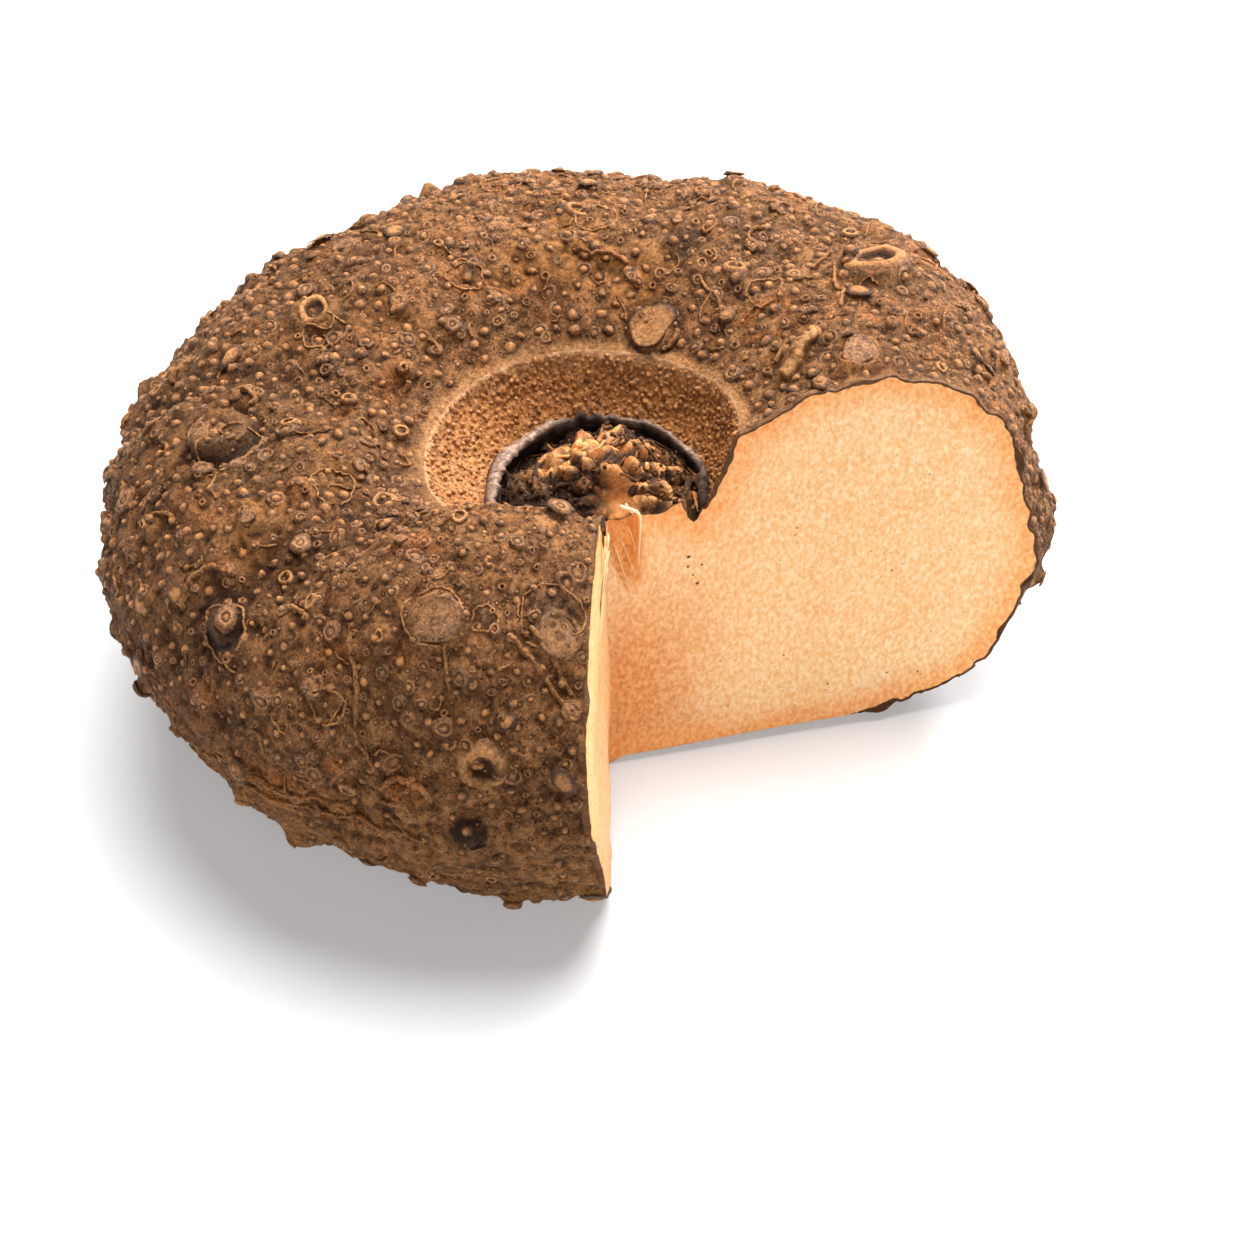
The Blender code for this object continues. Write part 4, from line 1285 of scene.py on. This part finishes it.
def rootlets(skin, material):
    """The named ridges, and thin dry rootlets that lie curled on the skin."""
    draw = random.Random(SEEDS["rootlets"])
    rows = len(skin.stations)
    parts = []
    for index in skin.scatter(ROOTLET_SCATTER):
        row, column = divmod(index, COLUMNS)
        heading, bend = draw.uniform(0, 2 * math.pi), draw.gauss(0, 0.28)
        r, c = float(row), float(column)
        route = []
        for _ in range(draw.randrange(5, 11)):
            i, j = int(np.clip(r, 0, rows - 1)), int(np.clip(c, 0, COLUMNS - 1))
            route.append(skin.points[i, j] + skin.normals[i, j] * draw.uniform(0.0001, 0.0004))
            r += math.sin(heading) * 1.5
            c += math.cos(heading) * 1.5
            heading += bend
            bend += draw.gauss(0, 0.10)
        if 4 < c < COLUMNS - 5 and 4 < r < rows - 5 and skin.clear_of_cuts(index, 0.012):
            thick = draw.choice((1.0, 1.0, 1.3, 2.2))
            width = thick * draw.uniform(0.0004, 0.0007)
            shape = strand(route, width, width * 0.7, skin.ups[index], taper=thick < 2)
            parts.append(tinted(shape, tan=draw.uniform(0.2, 1.0) / thick))
    for route, width, tan in ridge_lines(skin):
        middle = skin.tree.find(route[len(route) // 2])[1]
        parts.append(tinted(strand(route, width, width * 0.62, skin.ups[middle], taper=False), tan=tan))
    return mesh_object("rootlets", merged(parts), [material])


# Dark specks on the right cut face: distance from the cut corner, height and radius.
SPECKS = (
    (0.0221, 0.0703, 0.00032),
    (0.0216, 0.0672, 0.00048),
    (0.0214, 0.0640, 0.00030),
    (0.0252, 0.0640, 0.00034),
    (0.0228, 0.0610, 0.00026),
    (0.0240, 0.0580, 0.00040),
    (0.0118, 0.0724, 0.00026),
    (0.0158, 0.0724, 0.00024),
)
SPECK_COUNT = 64


def specks(material):
    """Small dark spots in the flesh: the named ones, and a seeded scatter nearer the skin."""
    draw = random.Random(SEEDS["specks"])
    places = list(SPECKS)
    while len(places) < SPECK_COUNT:
        along, height = draw.uniform(0.012, 0.100), draw.uniform(0.012, 0.100)
        places.append((along, height, draw.uniform(0.00013, 0.00028)))
    spots = []
    for along, height, radius in places:
        if height < 0.105 - abs(along - 0.062) * 0.9:
            spots.append((on_cut(0, along, height), cut_normal(0), radius, radius * 0.25))
    return mesh_object("flesh_specks", warts("grain", SPECK_SIDES, spots, draw), [material])


class Shader:
    """Short names for the nodes that a material is built from."""

    def __init__(self, name):
        self.material = bpy.data.materials.new(name)
        self.material.use_nodes = True
        self.tree = self.material.node_tree
        self.surface = self.tree.nodes["Principled BSDF"]
        self.place = self.tree.nodes.new("ShaderNodeTexCoord").outputs["Object"]

    def node(self, kind, inputs, **settings):
        made = self.tree.nodes.new(kind)
        for key, value in settings.items():
            setattr(made, key, value)
        for key, value in inputs.items():
            self.put(made.inputs[key], value)
        return made

    def put(self, socket, value):
        if isinstance(value, bpy.types.NodeSocket):
            self.tree.links.new(value, socket)
        else:
            socket.default_value = value

    def noise(self, scale, detail, rough=0.55, twist=0.0, place=None):
        inputs = {"Vector": place or self.place, "Scale": scale, "Detail": detail}
        inputs |= {"Roughness": rough, "Distortion": twist}
        return self.node("ShaderNodeTexNoise", inputs).outputs["Fac"]

    def fibres(self, scale, detail, rough, twist):
        """Noise stretched by a scale for each axis, for fibres and streaks."""
        place = self.node("ShaderNodeMapping", {"Vector": self.place, "Scale": scale}).outputs["Vector"]
        return self.noise(1.0, detail, rough, twist, place)

    def cells(self, scale, feature="F1"):
        inputs = {"Vector": self.place, "Scale": scale}
        return self.node("ShaderNodeTexVoronoi", inputs, feature=feature).outputs["Distance"]

    def mask(self, name):
        return self.node("ShaderNodeAttribute", {}, attribute_name=name).outputs["Fac"]

    def span(self, value, low, high, to_low=0.0, to_high=1.0):
        inputs = {"Value": value, "From Min": low, "From Max": high, "To Min": to_low, "To Max": to_high}
        return self.node("ShaderNodeMapRange", inputs).outputs["Result"]

    def math(self, operation, a, b=0.0):
        made = self.node("ShaderNodeMath", {}, operation=operation, use_clamp=operation != "SUBTRACT")
        self.put(made.inputs[0], a)
        self.put(made.inputs[1], b)
        return made.outputs[0]

    def mix(self, factor, a, b):
        made = self.node("ShaderNodeMix", {}, data_type="RGBA")
        for socket, value in zip((made.inputs[0], made.inputs[6], made.inputs[7]), (factor, a, b)):
            self.put(socket, (*value, 1.0) if isinstance(value, tuple) else value)
        return made.outputs[2]

    def blend(self, value, low, high, a, b):
        """From colour a to colour b, as the value goes from low to high."""
        return self.mix(self.span(value, low, high), a, b)

    def over(self, colour, top, value, low, high, share):
        """Lays the top colour on, from none at value low to its full share at value high."""
        return self.mix(self.span(value, low, high, 0.0, share), colour, top)

    def masked(self, colour, top, name, share):
        """Lays the top colour on where the mask is, with this share at most."""
        return self.over(colour, top, self.mask(name), 0, 1, share)

    def thread(self, value, level, width):
        """Thin lines where the value passes a level, like fibres on the skin."""
        away = self.math("ABSOLUTE", self.math("SUBTRACT", value, level))
        return self.span(away, width, width * 0.2)

    def bump(self, height, strength, distance, normal=None):
        inputs = {"Height": height, "Strength": strength, "Distance": distance}
        if normal:
            inputs["Normal"] = normal
        return self.node("ShaderNodeBump", inputs).outputs["Normal"]

    def finish(self, colour, roughness, normal, specular):
        self.put(self.surface.inputs["Base Color"], colour)
        self.put(self.surface.inputs["Roughness"], roughness)
        self.put(self.surface.inputs["Normal"], normal)
        self.surface.inputs["Specular IOR Level"].default_value = specular
        return self.material


DEEP = (0.020, 0.0065, 0.0018)
BROWN = (0.160, 0.050, 0.0110)
DUST = (0.400, 0.152, 0.0480)
RUST = (0.540, 0.140, 0.0200)
OCHRE = (0.430, 0.165, 0.0360)
PALE = (0.780, 0.400, 0.1600)
GOLD = (0.920, 0.400, 0.1050)
GREY = (0.110, 0.084, 0.0600)


def skin_material(name, specular, gloss):
    """The corky skin. Gloss is how much smoother it gets where it glows, on the root scars."""
    s = Shader(name)
    dots, pits = s.cells(340), s.cells(560)
    patches, grain = s.noise(120, 8, 0.72, 0.8), s.noise(1000, 6, 0.75)
    curls = s.noise(430, 2, 0.5, 2.6)
    streaks = s.fibres((110, 110, 800), 5, 0.65, 0.7)
    threads = s.math("MAXIMUM", s.thread(s.noise(210, 2, 0.5, 2.4), 0.5, 0.030), s.thread(curls, 0.47, 0.045))
    threads = s.math("MAXIMUM", threads, s.thread(s.noise(150, 2, 0.5, 3.2), 0.52, 0.022))
    low = s.mask("low")
    colour = s.blend(patches, 0.40, 0.60, BROWN, DUST)
    colour = s.over(colour, BROWN, s.noise(26, 6, 0.6, 0.4), 0.45, 0.62, 0.6)
    colour = s.over(colour, RUST, s.noise(48, 6, 0.75, 0.8), 0.52, 0.66, 0.85)
    colour = s.mix(s.math("MULTIPLY", low, s.span(s.noise(60, 5), 0.30, 0.55)), colour, OCHRE)
    colour = s.mix(s.math("MULTIPLY", low, s.span(streaks, 0.48, 0.38, 0.0, 0.85)), colour, DEEP)
    colour = s.over(colour, PALE, grain, 0.50, 0.68, 0.45)
    colour = s.over(colour, DEEP, grain, 0.49, 0.36, 0.90)
    colour = s.over(colour, PALE, threads, 0, 1, 0.50)
    colour = s.over(colour, DEEP, pits, 0.24, 0.12, 0.85)
    smooth = s.span(low, 0.2, 0.9, 1.0, 0.15)
    # Each small dot gets a dark ring, partly its own brown ring and partly painted shade round its raised
    # middle, then a lighter middle.
    colour = s.mix(s.math("MULTIPLY", smooth, s.span(dots, 0.32, 0.20, 0.0, 0.75)), colour, DEEP)
    bright = s.blend(patches, 0.4, 0.6, RUST, PALE)
    colour = s.mix(s.math("MULTIPLY", smooth, s.span(dots, 0.16, 0.10, 0.0, 0.80)), colour, bright)
    colour = s.masked(colour, s.blend(grain, 0.40, 0.60, DEEP, GREY), "grey", 0.85)
    colour = s.masked(colour, s.blend(grain, 0.40, 0.55, DUST, PALE), "tan", 0.85)
    colour = s.masked(colour, s.blend(grain, 0.35, 0.55, RUST, GOLD), "glow", 0.90)
    # The dark mask brings the skin's own dark spots and rot, and painted shade in hollows, folds, round knobs
    # and warts and on the left side.
    colour = s.masked(colour, DEEP, "dark", 0.88)
    normal = s.bump(s.cells(700, "SMOOTH_F1"), 0.60, 0.0005)
    normal = s.bump(s.span(dots, 0.22, 0.05), 0.90, 0.0005, normal)
    normal = s.bump(threads, 0.90, 0.0006, normal)
    normal = s.bump(s.math("MULTIPLY", streaks, low), 0.80, 0.0012, normal)
    normal = s.bump(curls, 0.60, 0.0009, normal)
    normal = s.bump(grain, 0.95, 0.0012, normal)
    dull = s.span(patches, 0.3, 0.7, 0.50, 0.72)
    rough = s.math("SUBTRACT", dull, s.span(s.mask("glow"), 0, 1, 0, gloss))
    return s.finish(colour, rough, normal, specular)


def lining_material():
    s = Shader("crater_lining")
    grain, flecks = s.noise(900, 5, 0.75), s.cells(620)
    colour = s.blend(s.noise(120, 6, 0.65), 0.3, 0.7, (0.220, 0.068, 0.015), (0.440, 0.170, 0.046))
    colour = s.over(colour, (0.68, 0.34, 0.12), grain, 0.50, 0.72, 0.7)
    colour = s.over(colour, (0.040, 0.014, 0.005), grain, 0.49, 0.36, 0.9)
    colour = s.over(colour, (0.66, 0.36, 0.15), flecks, 0.22, 0.05, 0.8)
    colour = s.masked(colour, (0.52, 0.30, 0.15), "tan", 0.8)
    # The dark mask brings painted shade into the lining's hollows.
    colour = s.masked(colour, DEEP, "dark", 0.6)
    normal = s.bump(flecks, 0.8, 0.0006)
    normal = s.bump(grain, 0.6, 0.0005, normal)
    return s.finish(colour, s.span(grain, 0.3, 0.7, 0.40, 0.70), normal, 0.15)


def bud_material():
    s = Shader("stalk_scar")
    patches, grain = s.noise(170, 6, 0.7, 0.6), s.noise(1000, 4, 0.7)
    fibres = s.fibres((700, 350, 1100), 5, 0.7, 1.0)
    colour = s.blend(patches, 0.35, 0.65, (0.014, 0.006, 0.003), (0.090, 0.036, 0.013))
    colour = s.over(colour, (0.36, 0.16, 0.06), fibres, 0.55, 0.70, 0.6)
    colour = s.masked(colour, s.blend(fibres, 0.42, 0.58, RUST, (0.86, 0.48, 0.19)), "tan", 0.9)
    colour = s.masked(colour, s.mix(patches, (0.52, 0.120, 0.035), (0.98, 0.42, 0.11)), "glow", 0.9)
    # The dark mask brings the black rotten patch and painted shade in the sunken ring and the stump's
    # hollows.
    colour = s.masked(colour, (0.008, 0.004, 0.003), "dark", 0.85)
    normal = s.bump(fibres, 0.8, 0.0009)
    normal = s.bump(grain, 0.6, 0.0004, normal)
    return s.finish(colour, s.span(grain, 0.3, 0.7, 0.35, 0.70), normal, 0.12)


def peel_material():
    s = Shader("skin_edge")
    fibres, grain = s.fibres((500, 500, 1300), 5, 0.7, 1.0), s.noise(800, 5, 0.7)
    colour = s.blend(fibres, 0.35, 0.65, (0.080, 0.028, 0.009), (0.300, 0.130, 0.045))
    colour = s.over(colour, PALE, grain, 0.55, 0.72, 0.6)
    colour = s.masked(colour, (0.42, 0.25, 0.14), "tan", 0.85)
    colour = s.masked(colour, DEEP, "dark", 0.85)
    normal = s.bump(fibres, 0.7, 0.0007)
    return s.finish(colour, s.span(grain, 0.3, 0.7, 0.45, 0.70), normal, 0.15)


def collar_material():
    s = Shader("papery_collar")
    streaks, grain = s.fibres((260, 260, 900), 5, 0.6, 0.8), s.noise(700, 4, 0.6)
    colour = s.blend(streaks, 0.35, 0.65, (0.030, 0.015, 0.009), (0.170, 0.092, 0.056))
    light = s.blend(grain, 0.4, 0.6, (0.220, 0.130, 0.090), (0.480, 0.330, 0.240))
    colour = s.masked(colour, light, "tan", 0.9)
    colour = s.masked(colour, (0.008, 0.005, 0.004), "dark", 0.9)
    normal = s.bump(streaks, 0.9, 0.0010)
    normal = s.bump(grain, 0.8, 0.0007, normal)
    return s.finish(colour, s.span(grain, 0.3, 0.7, 0.50, 0.80), normal, 0.12)


def flesh_material():
    s = Shader("corm_flesh")
    grain, fine = s.fibres((950, 950, 620), 4, 0.6, 0.15), s.noise(1500, 4, 0.7)
    colour = s.blend(s.noise(34, 4), 0.3, 0.7, (0.870, 0.500, 0.215), (0.900, 0.575, 0.285))
    colour = s.over(colour, (0.95, 0.72, 0.44), grain, 0.50, 0.64, 0.80)
    colour = s.over(colour, (0.82, 0.39, 0.120), grain, 0.48, 0.36, 0.75)
    warm = s.blend(grain, 0.35, 0.65, (0.60, 0.180, 0.028), (0.84, 0.38, 0.110))
    # Darker orange: the flesh's own colour mixed with painted shade near the cut corner, and painted shade
    # over the left face.
    colour = s.masked(colour, warm, "ripe_and_shade", 0.9)
    colour = s.over(colour, (0.60, 0.22, 0.05), s.cells(260), 0.10, 0.04, 0.60)
    rim = s.math("MULTIPLY", s.mask("rim"), s.span(s.noise(210, 4), 0.25, 0.6, 0.60, 1.0))
    colour = s.mix(rim, colour, s.blend(grain, 0.4, 0.6, (0.84, 0.280, 0.060), (0.94, 0.460, 0.150)))
    wet = s.mask("wet")
    colour = s.mix(wet, colour, s.blend(grain, 0.35, 0.60, (0.62, 0.19, 0.030), (0.92, 0.42, 0.110)))
    normal = s.bump(grain, 0.45, 0.0005)
    normal = s.bump(fine, 0.35, 0.0002, normal)
    rough = s.math("SUBTRACT", s.span(fine, 0.3, 0.7, 0.42, 0.62), s.span(wet, 0, 1, 0.0, 0.22))
    return s.finish(colour, rough, normal, 0.25)


def fibre_material():
    s = Shader("torn_flesh")
    grain = s.fibres((900, 900, 200), 5, 0.7, 0.8)
    colour = s.blend(grain, 0.35, 0.65, (0.86, 0.54, 0.22), (0.95, 0.76, 0.48))
    return s.finish(colour, s.span(grain, 0.3, 0.7, 0.35, 0.6), s.bump(grain, 0.5, 0.0004), 0.5)


def speck_material():
    s = Shader("flesh_speck")
    grain = s.noise(2500, 3, 0.6)
    colour = s.blend(grain, 0.35, 0.65, (0.050, 0.018, 0.008), (0.16, 0.055, 0.02))
    return s.finish(colour, s.span(grain, 0.3, 0.7, 0.4, 0.7), s.bump(grain, 0.4, 0.0002), 0.5)


def floor_material():
    s = Shader("floor_white")
    grain = s.noise(60, 3)
    colour = s.blend(grain, 0.3, 0.7, (0.500, 0.500, 0.503), (0.510, 0.510, 0.512))
    s.surface.inputs["Emission Color"].default_value = (1.0, 1.0, 1.0, 1.0)
    s.surface.inputs["Emission Strength"].default_value = 0.30
    return s.finish(colour, 0.65, s.bump(grain, 0.02, 0.0002), 0.2)


def floor():
    corners = FLOOR_REACH * np.array([(-1, -1, 0), (1, -1, 0), (1, 1, 0), (-1, 1, 0)])
    made = mesh_object("studio_floor", (corners, [(0, 1, 2, 3)], {}), [floor_material()])


# Each lamp's name, place, width and power. They all point at LIT_PLACE.
LAMPS = (
    ("key", (0.28, 0.65, 2.30), 2.20, 158),
    ("side", (1.40, 1.90, 1.50), 0.80, 105),
    ("front", (0.50, -2.10, 1.40), 0.90, 13),
)
LIT_PLACE = Vector((0, 0, 0.05))
WORLD_STRENGTH = 0.22
FLOOR_REACH = 3.0


def lights():
    world = bpy.data.worlds.new("studio")
    world.use_nodes = True
    world.node_tree.nodes["Background"].inputs["Color"].default_value = (1.0, 1.0, 1.0, 1.0)
    world.node_tree.nodes["Background"].inputs["Strength"].default_value = WORLD_STRENGTH
    bpy.context.scene.world = world
    for name, place, width, power in LAMPS:
        light = bpy.data.lights.new(name, "AREA")
        light.shape = "DISK"
        light.size = width
        light.energy = power
        made = bpy.data.objects.new(name, light)
        bpy.context.scene.collection.objects.link(made)
        made.location = place
        made.rotation_euler = (LIT_PLACE - Vector(place)).to_track_quat("-Z", "Y").to_euler()


# The camera as fitted: 40 degrees up, a 100 mm lens on a 36 mm frame of 1254 pixels, with the foot of the
# cut corner on pixel (609, 765), where a pixel shows 0.266 mm.
PIXELS = 1254
LENS = 100.0
FRAME_WIDTH = 36.0
ELEVATION = math.radians(40.0)
PIXEL_SIZE = 0.000266
CORNER_PIXEL = (609, 765)


def camera():
    focal = PIXELS * LENS / FRAME_WIDTH
    forward = Vector((0, math.cos(ELEVATION), -math.sin(ELEVATION)))
    right = Vector((1, 0, 0))
    up = right.cross(forward)
    aside = (CORNER_PIXEL[0] - PIXELS / 2) / focal
    above = (PIXELS / 2 - CORNER_PIXEL[1]) / focal
    data = bpy.data.cameras.new("camera")
    data.lens = LENS
    data.sensor_width = FRAME_WIDTH
    data.clip_start = 0.05
    made = bpy.data.objects.new("camera", data)
    made.location = Vector(CUT_CORNER) - (forward + right * aside + up * above) * focal * PIXEL_SIZE
    made.rotation_euler = (math.pi / 2 - ELEVATION, 0, 0)
    bpy.context.scene.collection.objects.link(made)
    bpy.context.scene.camera = made


def into_box(pieces):
    """Shrinks all pieces together by the percent or so that the small warts stand out of the solid's box."""
    places = [vertices_of(piece.data) for piece in pieces]
    every = np.vstack(places)
    low, high = np.array(CAD_BOX[0]) + BOX_MARGIN, np.array(CAD_BOX[1]) - BOX_MARGIN
    scale = np.minimum(high / every.max(axis=0), np.append((low / every.min(axis=0))[:2], 1.0))
    for piece, points in zip(pieces, places):
        points = points * np.minimum(scale, 1.0)
        points[:, 2] = np.maximum(points[:, 2], BOX_MARGIN)
        piece.data.vertices.foreach_set("co", points.ravel())
        piece.data.update()


def ride(piece):
    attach(piece, "root")


bpy.context.scene.view_settings.view_transform = "Standard"
skin_look, wart_look = skin_material("corm_skin", 0.12, 0.20), skin_material("small_warts", 0.38, 0.36)
lining_look, bud_look = lining_material(), bud_material()
peel_look, flesh_look = peel_material(), flesh_material()
outside = Skin()
small_warts = wart_spots(outside)
outside.shade_round(small_warts)
body = corm_body(outside, [skin_look, lining_look, bud_look, flesh_look, peel_look])
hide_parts("corm")
skin_pieces = [
    body,
    *skin_warts(outside, small_warts, wart_look),
    bosses(outside, wart_look),
    lining_flecks(outside, lining_look),
    scar_collar(outside, collar_material()),
    bud_flakes(outside, bud_look),
    rootlets(outside, skin_look),
    skin_edge(outside, 0, 5, peel_look),
    skin_edge(outside, -1, 9, peel_look),
]
flesh_pieces = [torn_fibres(fibre_material()), specks(speck_material())]
into_box(skin_pieces + flesh_pieces)
for piece in skin_pieces:
    ride(piece)
for piece in flesh_pieces:
    ride(piece)
floor()
lights()
camera()
